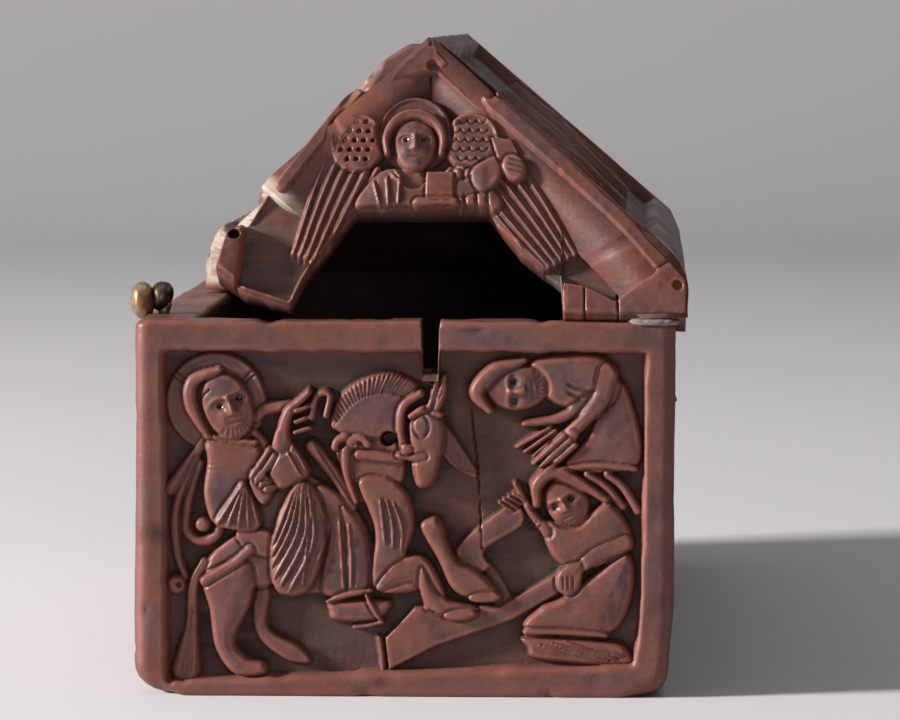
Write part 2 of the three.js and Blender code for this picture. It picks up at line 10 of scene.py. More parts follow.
import bpy
import numpy as np
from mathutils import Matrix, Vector


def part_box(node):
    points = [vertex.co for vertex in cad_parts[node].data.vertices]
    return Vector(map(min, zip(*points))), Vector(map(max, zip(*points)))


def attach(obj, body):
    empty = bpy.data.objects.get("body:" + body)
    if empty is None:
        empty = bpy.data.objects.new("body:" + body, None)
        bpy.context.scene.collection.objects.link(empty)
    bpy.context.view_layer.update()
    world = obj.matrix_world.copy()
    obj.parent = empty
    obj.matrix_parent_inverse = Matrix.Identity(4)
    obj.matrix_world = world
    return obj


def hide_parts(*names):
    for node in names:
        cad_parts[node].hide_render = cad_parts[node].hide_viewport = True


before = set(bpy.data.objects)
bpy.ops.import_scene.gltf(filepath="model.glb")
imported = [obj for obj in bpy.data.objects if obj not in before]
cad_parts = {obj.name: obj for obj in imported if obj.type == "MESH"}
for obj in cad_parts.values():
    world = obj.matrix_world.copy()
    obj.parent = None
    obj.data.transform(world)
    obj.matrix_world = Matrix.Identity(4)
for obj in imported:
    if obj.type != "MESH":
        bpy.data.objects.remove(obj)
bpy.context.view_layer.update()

MM = 0.001
box_low, box_high = (np.array(corner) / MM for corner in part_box("casket_box"))
lid_low, lid_high = (np.array(corner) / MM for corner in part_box("casket_lid"))

HALF_WIDTH = box_high[0]
HALF_LENGTH = box_high[1]
RIM = box_high[2]
END_DEPTH = 3.0                      # depth of the carved fields on the ends
SIDE_DEPTH = 2.2                     # depth of the carved fields on the long sides
BORDER = 4.0                         # width of the plain border
WALL = np.array([7.6, 5.6])          # thickness of the long walls and of the end walls
FLOOR = 7.0

LID_MIDDLE = (lid_low[0] + lid_high[0]) / 2
LID_HALF_WIDTH = (lid_high[0] - lid_low[0]) / 2
SEAT = lid_low[2]
RISE = lid_high[2] - SEAT
LEAN = 15.0                          # how far each end of the roof leans in at the ridge
SHOULDER = (1.5, 8.0)                # how far in and how high the roof's slope starts
EAVE = 4.5                           # height of the upright eave
LID_WALL = 6.0

print("box", box_high - box_low, "lid", lid_high - lid_low, "lid stands at", SEAT)

# %% [markdown]
# ## Small tools: noise, blurs and meshes
# A carver's surface is never flat. Smooth noise gives the slow wander of the knife, and a blur of the
# height tells which places are hollows and which are edges. Both are whole-array sums, so a field of a
# hundred thousand points takes a moment. Meshes are filled with foreach_set for the same reason.

# %% Noise, blur and mesh helpers
LATTICE = 256                        # random values along each side before the noise repeats
LATTICE_START = (97.3, 41.7)         # where a field's origin falls on the lattice


def wander(across, up, size, seed):
    """Smooth random heights from -1 to 1: random values on a lattice of the given size, joined by a
    smoothstep blend of the four corners round each point."""
    rng = np.random.default_rng(seed)
    lattice = rng.uniform(-1, 1, (LATTICE, LATTICE))
    column = np.asarray(across) / size + LATTICE_START[0]
    row = np.asarray(up) / size + LATTICE_START[1]
    left, low = np.floor(column).astype(int), np.floor(row).astype(int)
    east, north = column - left, row - low
    east, north = east * east * (3 - 2 * east), north * north * (3 - 2 * north)
    pick = lambda i, j: lattice[(low + j) % LATTICE, (left + i) % LATTICE]
    south = pick(0, 0) * (1 - east) + pick(1, 0) * east
    top = pick(0, 1) * (1 - east) + pick(1, 1) * east
    return south * (1 - north) + top * north


def blur(field, reach):
    """A soft blur: three running means, of 2 reach + 1 cells, along each of the two directions."""
    for _ in range(3):
        for axis in (0, 1):
            padding = [(0, 0), (0, 0)]
            padding[axis] = (reach + 1, reach)
            total = np.cumsum(np.pad(field, padding, mode="edge"), axis=axis)
            ahead = np.take(total, range(2 * reach + 1, total.shape[axis]), axis=axis)
            behind = np.take(total, range(0, total.shape[axis] - 2 * reach - 1), axis=axis)
            field = (ahead - behind) / (2 * reach + 1)
    return field


def ease(value, low, high):
    """A smoothstep from 0 at low to 1 at high."""
    step = np.clip((value - low) / (high - low), 0, 1)
    return step * step * (3 - 2 * step)


def bell(value, reach):
    """A bell curve: one at zero, and small beyond its reach."""
    return np.exp(-(value / reach) ** 2)


def put_mesh(name, points, quads, rings=(), masks=None):
    """Makes an object from points in millimetres, an array of quads and a few many-sided faces."""
    mesh = bpy.data.meshes.new(name)
    loops = np.concatenate([np.asarray(quads).ravel(), *[np.asarray(ring) for ring in rings]])
    sizes = np.concatenate([np.full(len(quads), 4), [len(ring) for ring in rings]]).astype(int)
    mesh.vertices.add(len(points))
    mesh.vertices.foreach_set("co", (np.asarray(points, dtype=float) * MM).ravel())
    mesh.loops.add(len(loops))
    mesh.loops.foreach_set("vertex_index", loops.astype(np.int32))
    mesh.polygons.add(len(sizes))
    mesh.polygons.foreach_set("loop_start", np.concatenate([[0], np.cumsum(sizes)[:-1]]).astype(np.int32))
    mesh.update(calc_edges=True)
    mesh.polygons.foreach_set("use_smooth", np.ones(len(sizes), dtype=bool))
    for mask, values in (masks or {}).items():
        layer = mesh.attributes.new(mask, "FLOAT", "POINT")
        layer.data.foreach_set("value", np.asarray(values, dtype=np.float32).ravel())
    piece = bpy.data.objects.new(name, mesh)
    bpy.context.collection.objects.link(piece)
    print(f"{name}: {len(points)} points, {int((sizes - 2).sum())} triangles")
    return piece


def grid_quads(rows, columns):
    """The point numbers of a grid, and the quads between neighbours."""
    number = np.arange(rows * columns).reshape(rows, columns)
    corners = (number[:-1, :-1], number[:-1, 1:], number[1:, 1:], number[1:, :-1])
    return number, np.stack(corners, axis=-1).reshape(-1, 4)


def finish_piece(piece, material, node):
    """Gives a piece its material, hangs it under the root body and hides the CAD node it stands in for."""
    piece.data.materials.append(material)
    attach(piece, "root")
    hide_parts(node)
    return piece

# %% [markdown]
# ## The finish: boxwood rubbed by hands, with painted shade in its hollows
# Old boxwood is red-brown, and almost orange where fingers have rubbed the edges. The cut ground and every
# hollow are painted darker, partly as settled dust and partly as painted shade, and drilled holes and cracks
# are painted near black as shade. One node group mixes those from masks that each mesh carries, so the wear
# sits where the carving is high and the dust and painted shade where it is deep. On the chest the rub mask
# also lightens the rim top as a painted sheen. The grain runs along the casket's length,
# so its noise is stretched along Y and shows as fine flecks on the ends.

# %% The node group shared by every wooden piece
# Hollow darkens as dust and painted shade. Rub lightens as wear, and on the chest's rim top also as a painted
# sheen. Raw shows broken wood. The last channel is painted shade in holes and cracks, plus one real stain on
# the chest.
MASKS = ("Hollow", "Rub", "Raw", "Shade_and_stain")


def group_socket(group, name, kind, way="INPUT", value=None):
    socket = group.interface.new_socket(name=name, in_out=way, socket_type=f"NodeSocket{kind}")
    if value is not None:
        socket.default_value = value
    return socket


class Nodes:
    """Shorthands for one node tree. Each method adds a node, feeds its inputs and returns its output."""

    def __init__(self, tree):
        self.tree = tree
        self.join = tree.links.new

    def add(self, kind, place=(0, 0), **settings):
        node = self.tree.nodes.new(f"ShaderNode{kind}")
        node.location = place
        for key, value in settings.items():
            setattr(node, key, value)
        return node

    def feed(self, socket, source):
        """Sets a socket to a plain value, or joins it to another node's output."""
        if isinstance(source, (int, float, tuple)):
            socket.default_value = source
        else:
            self.join(source, socket)

    def noise(self, coords, stretch, scale, detail, roughness=0.55, place=(0, 0)):
        mapping = self.add("Mapping", (place[0] - 200, place[1]))
        mapping.inputs["Scale"].default_value = stretch
        self.join(coords, mapping.inputs["Vector"])
        noise = self.add("TexNoise", place)
        for name, number in (("Scale", scale), ("Detail", detail), ("Roughness", roughness)):
            noise.inputs[name].default_value = number
        self.join(mapping.outputs["Vector"], noise.inputs["Vector"])
        return noise.outputs["Fac"]

    def mix(self, factor, first, second, place=(0, 0), blend="MIX"):
        node = self.add("Mix", place, data_type="RGBA", blend_type=blend)
        for number, source in ((0, factor), (6, first), (7, second)):
            self.feed(node.inputs[number], source)
        return node.outputs[2]

    def spread(self, value, low, high, to_low=0.0, to_high=1.0, place=(0, 0)):
        node = self.add("MapRange", place, clamp=True)
        for name, number in (("From Min", low), ("From Max", high), ("To Min", to_low), ("To Max", to_high)):
            node.inputs[name].default_value = number
        self.join(value, node.inputs["Value"])
        return node.outputs["Result"]

    def sums(self, how, first, second, place=(0, 0)):
        node = self.add("Math", place, operation=how, use_clamp=how != "SUBTRACT")
        for socket, source in zip(node.inputs, (first, second)):
            self.feed(socket, source)
        return node.outputs[0]

    def times(self, first, second, place=(0, 0)):
        return self.sums("MULTIPLY", first, second, place)

    def bump(self, height, shader, distance, strength=1.0, place=(-200, -300)):
        """Tilts a shader's normal by a height; distance is in millimetres."""
        relief = self.add("Bump", place)
        relief.inputs["Strength"].default_value = strength
        relief.inputs["Distance"].default_value = distance * MM
        self.join(height, relief.inputs["Height"])
        self.join(relief.outputs["Normal"], shader.inputs["Normal"])


def make_wood_group():
    group = bpy.data.node_groups.new("Rubbed boxwood", "ShaderNodeTree")
    group_socket(group, "Coordinates", "Vector")
    for mask in MASKS:
        group_socket(group, mask, "Float", value=0.0)
    for name, value in (("Wood", (0.17, 0.055, 0.036, 1)), ("Purple", (0.115, 0.052, 0.05, 1)),
                        ("Deep", (0.042, 0.02, 0.016, 1)), ("Dust", (0.16, 0.125, 0.09, 1)),
                        ("Rubbed", (0.24, 0.078, 0.055, 1)), ("Broken", (0.42, 0.34, 0.27, 1))):
        group_socket(group, name, "Color", value=value)
    group_socket(group, "Dustiness", "Float", value=0.35)
    group_socket(group, "Colour", "Color", "OUTPUT")
    group_socket(group, "Roughness", "Float", "OUTPUT")
    group_socket(group, "Height", "Float", "OUTPUT")
    nodes = Nodes(group)
    given, result = add_ends(group)
    coords = given.outputs["Coordinates"]

    flecks = nodes.noise(coords, (1, 0.12, 1), 1900, 3, place=(-700, 300))
    bands = nodes.noise(coords, (1, 0.1, 1), 210, 5, 0.6, place=(-700, 100))
    stains = nodes.noise(coords, (1, 0.6, 1), 95, 6, 0.65, place=(-700, -100))
    pits = nodes.noise(coords, (1, 1, 1), 5200, 2, place=(-700, -300))
    scuffs = nodes.noise(coords, (0.25, 0.25, 1), 800, 4, 0.7, place=(-700, -500))

    patch = nodes.spread(stains, 0.42, 0.6, place=(-450, -100))
    tint = nodes.mix(patch, given.outputs["Wood"], given.outputs["Purple"], (-250, 200))
    grain = nodes.spread(bands, 0.3, 0.72, 0.55, 1.2, place=(-450, 100))
    fibre = nodes.spread(flecks, 0.35, 0.65, 0.82, 1.1, place=(-450, 450))
    grain = nodes.times(grain, fibre, (-350, 100))
    grain_colour = nodes.add("CombineColor", (-250, 50))
    for channel in range(3):
        nodes.join(grain, grain_colour.inputs[channel])
    grained = nodes.mix(0.8, tint, grain_colour.outputs[0], (-50, 200), "MULTIPLY")

    worn_spot = nodes.spread(stains, 0.45, 0.7, 0.55, 1.0, place=(-450, -250))
    # On the chest the Rub mask also carries a painted sheen on the rim top.
    rub = nodes.times(given.outputs["Rub"], worn_spot, (-250, -250))
    rubbed = nodes.mix(rub, grained, given.outputs["Rubbed"], (150, 200))

    # Painted shade and dirt: the Hollow mask darkens the ground and every hollow toward Deep, for the shade
    # that falls there as well as settled dirt.
    hollow = given.outputs["Hollow"]
    deepened = nodes.mix(hollow, rubbed, given.outputs["Deep"], (350, 200))
    dust_spot = nodes.spread(scuffs, 0.47, 0.66, place=(-450, -500))
    dust_fine = nodes.spread(pits, 0.4, 0.62, 0.35, 1.0, place=(-450, -650))
    dust = nodes.times(dust_spot, dust_fine, (-250, -500))
    dust = nodes.times(dust, hollow, (-100, -500))
    dust = nodes.times(dust, given.outputs["Dustiness"], (50, -500))
    dusty = nodes.mix(dust, deepened, given.outputs["Dust"], (550, 200))
    raw_spot = nodes.spread(scuffs, 0.3, 0.6, 0.3, 1, place=(-450, -800))
    raw_part = nodes.times(given.outputs["Raw"], raw_spot, (300, -100))
    broken = nodes.mix(raw_part, dusty, given.outputs["Broken"], (750, 200))
    # Painted shade: drilled holes and crack slits go near black. On the chest this channel carries a real
    # dark knot.
    shaded_and_stained = nodes.mix(given.outputs["Shade_and_stain"], broken, (0.006, 0.005, 0.005, 1), (950, 200))
    nodes.join(shaded_and_stained, result.inputs["Colour"])

    base_rough = nodes.spread(stains, 0.35, 0.65, 0.38, 0.58, place=(-250, -700))
    matt = nodes.times(hollow, 0.35, (300, -700))
    rough = nodes.sums("ADD", base_rough, matt, (500, -700))
    raw_matt = nodes.times(given.outputs["Raw"], 0.4, (500, -850))
    rough = nodes.sums("ADD", rough, raw_matt, (700, -700))
    shade_and_stain_gloss = nodes.times(given.outputs["Shade_and_stain"], 0.3, (700, -850))
    nodes.join(nodes.sums("SUBTRACT", rough, shade_and_stain_gloss, (900, -700)), result.inputs["Roughness"])

    fine = nodes.times(flecks, 0.35, (300, -1000))
    tool = nodes.times(scuffs, 0.5, (300, -1150))
    both = nodes.sums("ADD", fine, tool, (500, -1050))
    grit = nodes.times(nodes.times(pits, hollow, (300, -1300)), 0.5, (500, -1300))
    nodes.join(nodes.sums("ADD", both, grit, (700, -1050)), result.inputs["Height"])
    return group


def add_ends(group):
    given = group.nodes.new("NodeGroupInput")
    given.location = (-1200, 0)
    result = group.nodes.new("NodeGroupOutput")
    result.location = (1200, 0)
    return given, result


wood_group = make_wood_group()
print("wood group has", len(wood_group.nodes), "nodes")

# %% The wooden materials
WOOD_SHINE = {"Specular IOR Level": 0.4, "Coat Roughness": 0.3, "Coat Weight": 0.06}
WOOD_BUMP = 0.22                     # height of the grain and scuffs, too fine for the mesh


def new_material(name, settings):
    """A material, the shorthands for its nodes, and its shader with the given inputs set."""
    material = bpy.data.materials.new(name)
    material.use_nodes = True
    shader = material.node_tree.nodes["Principled BSDF"]
    for key, value in settings.items():
        shader.inputs[key].default_value = value
    return material, Nodes(material.node_tree), shader


def make_wood(name, **values):
    material, nodes, shader = new_material(name, WOOD_SHINE)
    wood = nodes.add("Group", (-400, 0), node_tree=wood_group)
    nodes.join(nodes.add("TexCoord", (-900, 0)).outputs["Object"], wood.inputs["Coordinates"])
    for place, mask in enumerate(MASKS):
        reader = nodes.add("Attribute", (-900, -200 - 150 * place), attribute_name=mask.lower())
        nodes.join(reader.outputs["Fac"], wood.inputs[mask])
    for key, value in values.items():
        wood.inputs[key].default_value = value
    nodes.join(wood.outputs["Colour"], shader.inputs["Base Color"])
    nodes.join(wood.outputs["Roughness"], shader.inputs["Roughness"])
    nodes.bump(wood.outputs["Height"], shader, WOOD_BUMP, 0.5)
    return material


box_wood = make_wood("Boxwood of the box")
lid_wood = make_wood("Boxwood of the lid", Deep=(0.075, 0.05, 0.044, 1), Dust=(0.26, 0.22, 0.2, 1),
                     Dustiness=0.5)

# %% [markdown]
# ## The relief: heights over a field
# A field is a grid of points across and up one face, with one height at each. A figure is laid on it as
# the carver saw it: shapes in front overwrite shapes behind, every edge is rounded over, and a thin cut
# runs round it so that it parts from its neighbour. Three tools do most of it. A form is a closed outline,
# a limb is a strip that swells and tapers, and a cut is a V groove. Their profiles are distances from an
# outline, so the same few lines serve an arm, a hoof and a fold. Ridges, drilled holes and cracks finish it.

# %% Smooth paths and distances
def smooth_path(corners, step, closed=False):
    """Points about `step` apart on a Catmull-Rom curve through the corners: each stretch is the cubic
    whose slope at a corner is half the chord between that corner's neighbours."""
    knots = np.asarray(corners, dtype=float)
    count = len(knots)
    if closed:
        ends = [np.roll(knots, shift, axis=0) for shift in (1, 0, -1, -2)]
    else:
        padded = np.vstack([2 * knots[0] - knots[1], knots, 2 * knots[-1] - knots[-2]])
        ends = [padded[index:index + count - 1] for index in range(4)]
    before, start, end, after = ends
    parts = max(2, int(np.ceil(np.linalg.norm(end - start, axis=1).max() / step)))
    along = (np.arange(parts) / parts)[None, :, None]
    before, start, end, after = (corner[:, None, :] for corner in ends)
    curve = 0.5 * (2 * start + (end - before) * along
                   + (2 * before - 5 * start + 4 * end - after) * along ** 2
                   + (3 * start - before - 3 * end + after) * along ** 3)
    curve = curve.reshape(-1, curve.shape[-1])
    return curve if closed else np.vstack([curve, knots[-1]])


def outline_depth(across, up, outline):
    """How far each point lies inside a closed outline (negative outside): the distance to its nearest
    edge, with the sign from counting how many edges a ray to the right crosses."""
    ends = np.roll(outline, -1, axis=0)
    edge = ends - outline
    length = np.maximum((edge ** 2).sum(axis=1), 1e-9)
    from_x = across[:, None] - outline[None, :, 0]
    from_y = up[:, None] - outline[None, :, 1]
    along = np.clip((from_x * edge[:, 0] + from_y * edge[:, 1]) / length, 0, 1)
    distance = np.hypot(from_x - along * edge[:, 0], from_y - along * edge[:, 1]).min(axis=1)
    spans = (outline[None, :, 1] > up[:, None]) != (ends[None, :, 1] > up[:, None])
    climb = np.where(edge[:, 1] == 0, 1e-9, edge[:, 1])
    crossing = outline[:, 0] + (up[:, None] - outline[:, 1]) * edge[:, 0] / climb
    inside = (spans & (across[:, None] < crossing)).sum(axis=1) % 2 == 1
    return np.where(inside, distance, -distance)


def strip_depth(across, up, path, halves):
    """How far each point lies inside a strip: its half width less the distance to the path, at the place
    on the path where that is greatest. Also returns which place that was, from 0 to 1."""
    reach = halves[None, :] - np.hypot(across[:, None] - path[None, :, 0], up[:, None] - path[None, :, 1])
    place = reach.argmax(axis=1)
    return reach[np.arange(len(across)), place], halves[place], place / max(len(path) - 1, 1)

# %% The field and its carving tools
WIDE_BLUR = 1.1                      # reach of the blur that shows hollows
TIGHT_BLUR = 0.35                    # reach of the blur that shows edges
CURVE_STEP = 0.35                    # spacing of points along a form's outline
STRIP_STEP = 0.18                    # spacing of points along a limb or a groove


class Field:
    """A carved field: places across and up, a height at each, and the masks that the finish reads."""

    def __init__(self, across, up, height):
        self.across, self.up = across, up
        self.height = height.astype(float)
        self.shade_and_stain = np.zeros_like(self.height)
        self.raw = np.zeros_like(self.height)
        self.moat, self.moat_width = 0.35, 0.3        # the thin cut round each shape
        self.grow, self.softness = 0.14, 0.75         # how far edges spread, and how sharply they round

    def near(self, low, high, margin):
        """The flat indices of the points in a box round a shape."""
        inside = ((self.across > low[0] - margin) & (self.across < high[0] + margin)
                  & (self.up > low[1] - margin) & (self.up < high[1] + margin))
        return np.flatnonzero(inside)

    def places(self, index):
        """Where the points of an index lie."""
        return self.across.ravel()[index], self.up.ravel()[index]

    def lower(self, index, amount):
        """Takes an amount off the height of some points."""
        heights = self.height.ravel()
        heights[index] -= amount
        self.height = heights.reshape(self.height.shape)

    def darken(self, index, amount):
        """Raises the painted shade of some points to an amount: a dark fill that stands in for shade in holes
        and slits.
        """
        shade = self.shade_and_stain.ravel()
        shade[index] = np.maximum(shade[index], amount)
        self.shade_and_stain = shade.reshape(self.shade_and_stain.shape)

    def stand(self, index, depth, edge, top, crown, crown_reach):
        """Raises the points inside a shape to its rounded top, and cuts a thin moat round it."""
        heights = self.height.ravel()
        under = heights[index]
        outside = (depth <= 0) & (depth > -self.moat_width) & (under > 0.35)
        cut = self.moat * (1 + depth / self.moat_width) * np.clip(under / 1.5, 0, 1)
        under = np.where(outside, np.maximum(under - cut, 0), under)
        low = np.maximum(np.minimum(under - self.moat, top - 0.3), np.minimum(under, 0))
        shoulder = np.clip(depth / edge, 0, 1)
        rounded = np.sqrt(1 - (1 - shoulder) ** 2)
        swell = np.clip(depth / crown_reach, 0, 1)
        target = low + (top - low) * rounded + crown * (1 - (1 - swell) ** 2)
        heights[index] = np.where(depth > 0, target, under)
        self.height = heights.reshape(self.height.shape)

    def form(self, corners, top, edge=0.45, crown=0.35, crown_reach=2.0, smooth=True, tilt=(0, 0)):
        """A closed outline standing at `top`, its edge rounded over `edge`, its middle swelling by crown.
        tilt raises it per millimetre across and up, measured from its middle."""
        outline = smooth_path(corners, CURVE_STEP, True) if smooth else straight_path(corners)
        index = self.near(outline.min(axis=0), outline.max(axis=0), 0.6)
        across, up = self.places(index)
        depth = outline_depth(across, up, outline) + self.grow
        middle = outline.mean(axis=0)
        level = top + tilt[0] * (across - middle[0]) + tilt[1] * (up - middle[1])
        self.stand(index, depth, edge * self.softness, level, crown, crown_reach)

    def oval(self, x, y, wide, tall, turn, top, **rest):
        """An ellipse with the given half axes, turned anticlockwise by degrees."""
        angle = np.linspace(0, 2 * np.pi, 12, endpoint=False)
        turn = math.radians(turn)
        right, rise = wide * np.cos(angle), tall * np.sin(angle)
        self.form(np.stack([x + right * math.cos(turn) - rise * math.sin(turn),
                            y + right * math.sin(turn) + rise * math.cos(turn)], axis=1), top, **rest)

    def strip_places(self, corners, widths, margin):
        path = smooth_path(corners, STRIP_STEP)
        run = np.linspace(0, 1, len(path))
        halves = np.interp(run, np.linspace(0, 1, len(widths)), widths) / 2
        index = self.near(path.min(axis=0) - halves.max(), path.max(axis=0) + halves.max(), margin)
        across, up = self.places(index)
        return index, *strip_depth(across, up, path, halves)

    def limb(self, corners, widths, tops, flat=0.75, crown=0.0):
        """A rounded strip along a smooth path: widths and tops run evenly along it."""
        index, depth, half, along = self.strip_places(corners, widths, 0.6)
        depth, half = depth + self.grow / 2, half + self.grow / 2
        level = np.interp(along, np.linspace(0, 1, len(tops)), tops) if len(tops) > 1 else tops[0]
        self.stand(index, depth, np.maximum(half * flat, 0.15), level, crown, 1.0)

    def cut(self, corners, width=0.35, depth=0.4, tapered=True):
        """A V groove along a smooth path, running out at both ends."""
        index, inside, half, along = self.strip_places(corners, [width], 0.1)
        fade = np.clip(np.minimum(along, 1 - along) * 8 + 0.25, 0, 1) if tapered else 1.0
        self.lower(index, depth * fade * np.clip(inside / half, 0, 1))

    def ridge(self, corners, width=0.4, rise=0.25):
        """A thin raised line along a smooth path."""
        index, inside, half, along = self.strip_places(corners, [width], 0.1)
        fade = np.clip(np.minimum(along, 1 - along) * 8 + 0.3, 0, 1)
        self.lower(index, -rise * fade * np.sqrt(np.clip(inside / half, 0, 1)))

    def drill(self, x, y, radius, depth, shade_and_stain=0.0):
        """A small round hole, with an optional dark fill as painted shade."""
        index = self.near(np.array([x, y]), np.array([x, y]), radius * 1.3)
        across, up = self.places(index)
        away = np.hypot(across - x, up - y) / radius
        self.lower(index, depth * (1 - ease(away, 0.65, 1.0)))
        self.darken(index, shade_and_stain * (1 - ease(away, 0.85, 1.05)))

    def crack(self, corners, width=0.22, depth=1.6):
        """A drying crack: a narrow slit of even depth, painted dark inside as shade."""
        index, inside, half, _ = self.strip_places(corners, [width], 0.2)
        self.lower(index, depth * np.clip(inside / half + 0.3, 0, 1) * (inside > -0.05))
        self.darken(index, ease(inside, -0.06, 0.05))

    def masks(self, cell, floor_level=0.6):
        """Where the carving is hollow and where it is rubbed: the height against its own blurs."""
        wide = blur(self.height, max(1, round(WIDE_BLUR / cell)))
        tight = blur(self.height, max(1, round(TIGHT_BLUR / cell)))
        ground = 1 - ease(self.height, 0.15, floor_level)
        # The hollow mask is painted darker in the finish: part dust, part painted shade.
        hollow = 0.42 * ground + 0.65 * ease(wide - self.height, 0.25, 1.1)
        rub = ease(self.height - tight, 0.02, 0.16) * ease(self.height, 0.8, 2.0)
        return {"hollow": np.clip(hollow, 0, 1), "rub": rub, "raw": self.raw, "shade_and_stain": self.shade_and_stain}


def straight_path(corners):
    """The same kind of list for an outline of straight edges: its corners and the middle of each edge."""
    knots = np.asarray(corners, dtype=float)
    ends = np.roll(knots, -1, axis=0)
    along = (np.arange(2) / 2)[None, :, None]
    return (knots[:, None, :] * (1 - along) + ends[:, None, :] * along).reshape(-1, 2)


def slab(name, field, place, cell, back=1.4, floor_level=0.6):
    """A carved field as a closed plate: the heights in front, one ring of sides and a flat back.
    place turns across, up and height into x, y, z."""
    rows, columns = field.height.shape
    front = place(field.across, field.up, field.height).reshape(-1, 3)
    number, quads = grid_quads(rows, columns)
    ring = np.concatenate([number[0, :-1], number[:-1, -1], number[-1, :0:-1], number[:0:-1, 0]])
    rear = place(field.across.ravel()[ring], field.up.ravel()[ring], np.full(len(ring), -back))
    behind = rows * columns + np.arange(len(ring))
    sides = np.stack([ring, behind, np.roll(behind, -1), np.roll(ring, -1)], axis=-1)
    masks = {key: np.concatenate([values.ravel(), values.ravel()[ring]])
             for key, values in field.masks(cell, floor_level).items()}
    return put_mesh(name, np.vstack([front, rear]), np.vstack([quads, sides]), [behind[::-1]], masks)


print("carving tools ready")

# %% [markdown]
# ## A face by proportion
# Every head on the casket uses one face. It is drawn from the proportions a carver learns first: eyes on
# the middle line, brow and nostrils a third apart, mouth between nose and chin. Each feature is a soft
# bump or dip on an egg, so the same sum serves every head, with its size, tilt and turn as inputs.

# %% The face and its hair
def face(field, x, y, wide, tall, turn, look, top, pupil=0.13, beard=False):
    """An egg with features: brow, sockets, eyes, nose, lips and chin are bell curves in p and q, the
    places across and up the face as fractions of its half sizes; look slides them to one side."""
    field.oval(x, y, wide, tall, turn, top, edge=0.7, crown=0.55, crown_reach=wide)
    middle = np.array([x, y])
    index = field.near(middle, middle, max(wide, tall))
    turn = math.radians(turn)
    right, rise = field.across.ravel()[index] - x, field.up.ravel()[index] - y
    p = (right * math.cos(turn) + rise * math.sin(turn)) / wide
    q = (rise * math.cos(turn) - right * math.sin(turn)) / tall
    inside = ease(1 - np.hypot(p, q), 0.0, 0.15)
    p = p - 0.24 * look * (1 - 0.4 * p * look)
    pair = np.abs(p) - 0.42
    relief = 0.2 * bell(q - 0.3 + 0.5 * pair ** 2, 0.07) * bell(p, 0.85)
    relief -= 0.34 * bell(pair, 0.27) * bell(q - 0.1, 0.13)
    relief += 0.3 * bell(pair, 0.17) * bell(q - 0.09, 0.085)
    relief -= 0.09 * bell(np.hypot(pair / 0.27, (q - 0.09) / 0.15) - 1, 0.16)
    bridge = ease(0.36 - q, 0.0, 0.55) * ease(q, -0.34, -0.26)
    relief += (0.22 + 0.42 * bridge) * bell(p, 0.1 + 0.1 * bridge) * (q < 0.34) * ease(q, -0.34, -0.26)
    relief -= 0.17 * bell(q + 0.5, 0.04) * bell(p, 0.3)
    relief += 0.12 * (bell(q + 0.42, 0.05) + bell(q + 0.6, 0.06)) * bell(p, 0.25)
    relief += 0.16 * bell(q + 0.82, 0.13) * bell(p, 0.3)
    relief += 0.14 * bell(pair - 0.05, 0.2) * bell(q + 0.25, 0.2)
    if beard:
        strands = np.sin(26 * np.arctan2(p, -q - 0.1))
        relief -= 0.09 * (1 + strands) * ease(-q, 0.5, 0.75)
    field.height.ravel()[index] += relief * inside * wide / 2.6
    # The pupils are drilled and filled with painted shade.
    for side in (-1, 1):
        eye = 0.42 * side + 0.24 * look
        if abs(eye) < 0.75:
            across, up = eye * wide, 0.09 * tall
            field.drill(x + across * math.cos(turn) - up * math.sin(turn),
                        y + across * math.sin(turn) + up * math.cos(turn), pupil * wide, 0.3, shade_and_stain=1.0)


def comb(field, first, second, count, width=0.3, depth=0.3):
    """Evenly spaced grooves, each from a place on one path to the same place on another."""
    first, second = smooth_path(first, 0.1), smooth_path(second, 0.1)
    for along in (np.arange(count) + 0.5) / count:
        start = first[int(along * (len(first) - 1))]
        end = second[int(along * (len(second) - 1))]
        field.cut([start, (start + end) / 2, end], width, depth, tapered=False)


def arc(x, y, radius, start, end, count=12):
    """Points on a circle, from one angle to another in degrees."""
    angle = np.radians(np.linspace(start, end, count))
    return np.stack([x + radius * np.cos(angle), y + radius * np.sin(angle)], axis=1)

# %% [markdown]
# ## The carved end: the field
# The scene sits in a field three millimetres deep. The plate of relief is a touch larger than the field,
# so that its edge hides inside the frame. Its top dips at the notch broken or cut through the rim.

# %% The front field
FIELD_LEFT = (-30.7, -31.3)          # the field's left edge at its foot and at its top
FIELD_RIGHT = (30.0, 31.2)
FIELD_FOOT = (2.0, 4.4)
FIELD_TOP = 45.2
NOTCH = (2.2, 4.4, 42.8)             # left, right and bottom of the notch through the rim
DIP_START = 40.0                     # rows above this level close up over the notch
TUCK = 0.45                          # how far the plate runs under the frame
FRONT_GRID = (384, 248)              # points across and up
FIELD_SPAN = 62                      # width of the field, for the size of one cell


def true_width(x, up):
    """The hand-cut block's own shape: its left side leans out a touch at the foot, its right side in."""
    left = 1.01 + 0.006 * (1 - up / RIM)
    right = 1.005 - 0.028 * (1 - ease(up, 0, 14))
    return x * (left + (right - left) * ease(x, -10, 10))


def end_place(across, up, height):
    """A point of the front plate: across, back from the front plane less the carved height, and up."""
    return np.stack([true_width(across, up), -HALF_LENGTH + END_DEPTH - height, up + 0 * across], axis=-1)


def notch_dip(across):
    """One inside the notch and nothing outside, with sides 0.2 mm wide."""
    return ease(across, NOTCH[0] - 0.1, NOTCH[0] + 0.1) * (1 - ease(across, NOTCH[1] - 0.1, NOTCH[1] + 0.1))


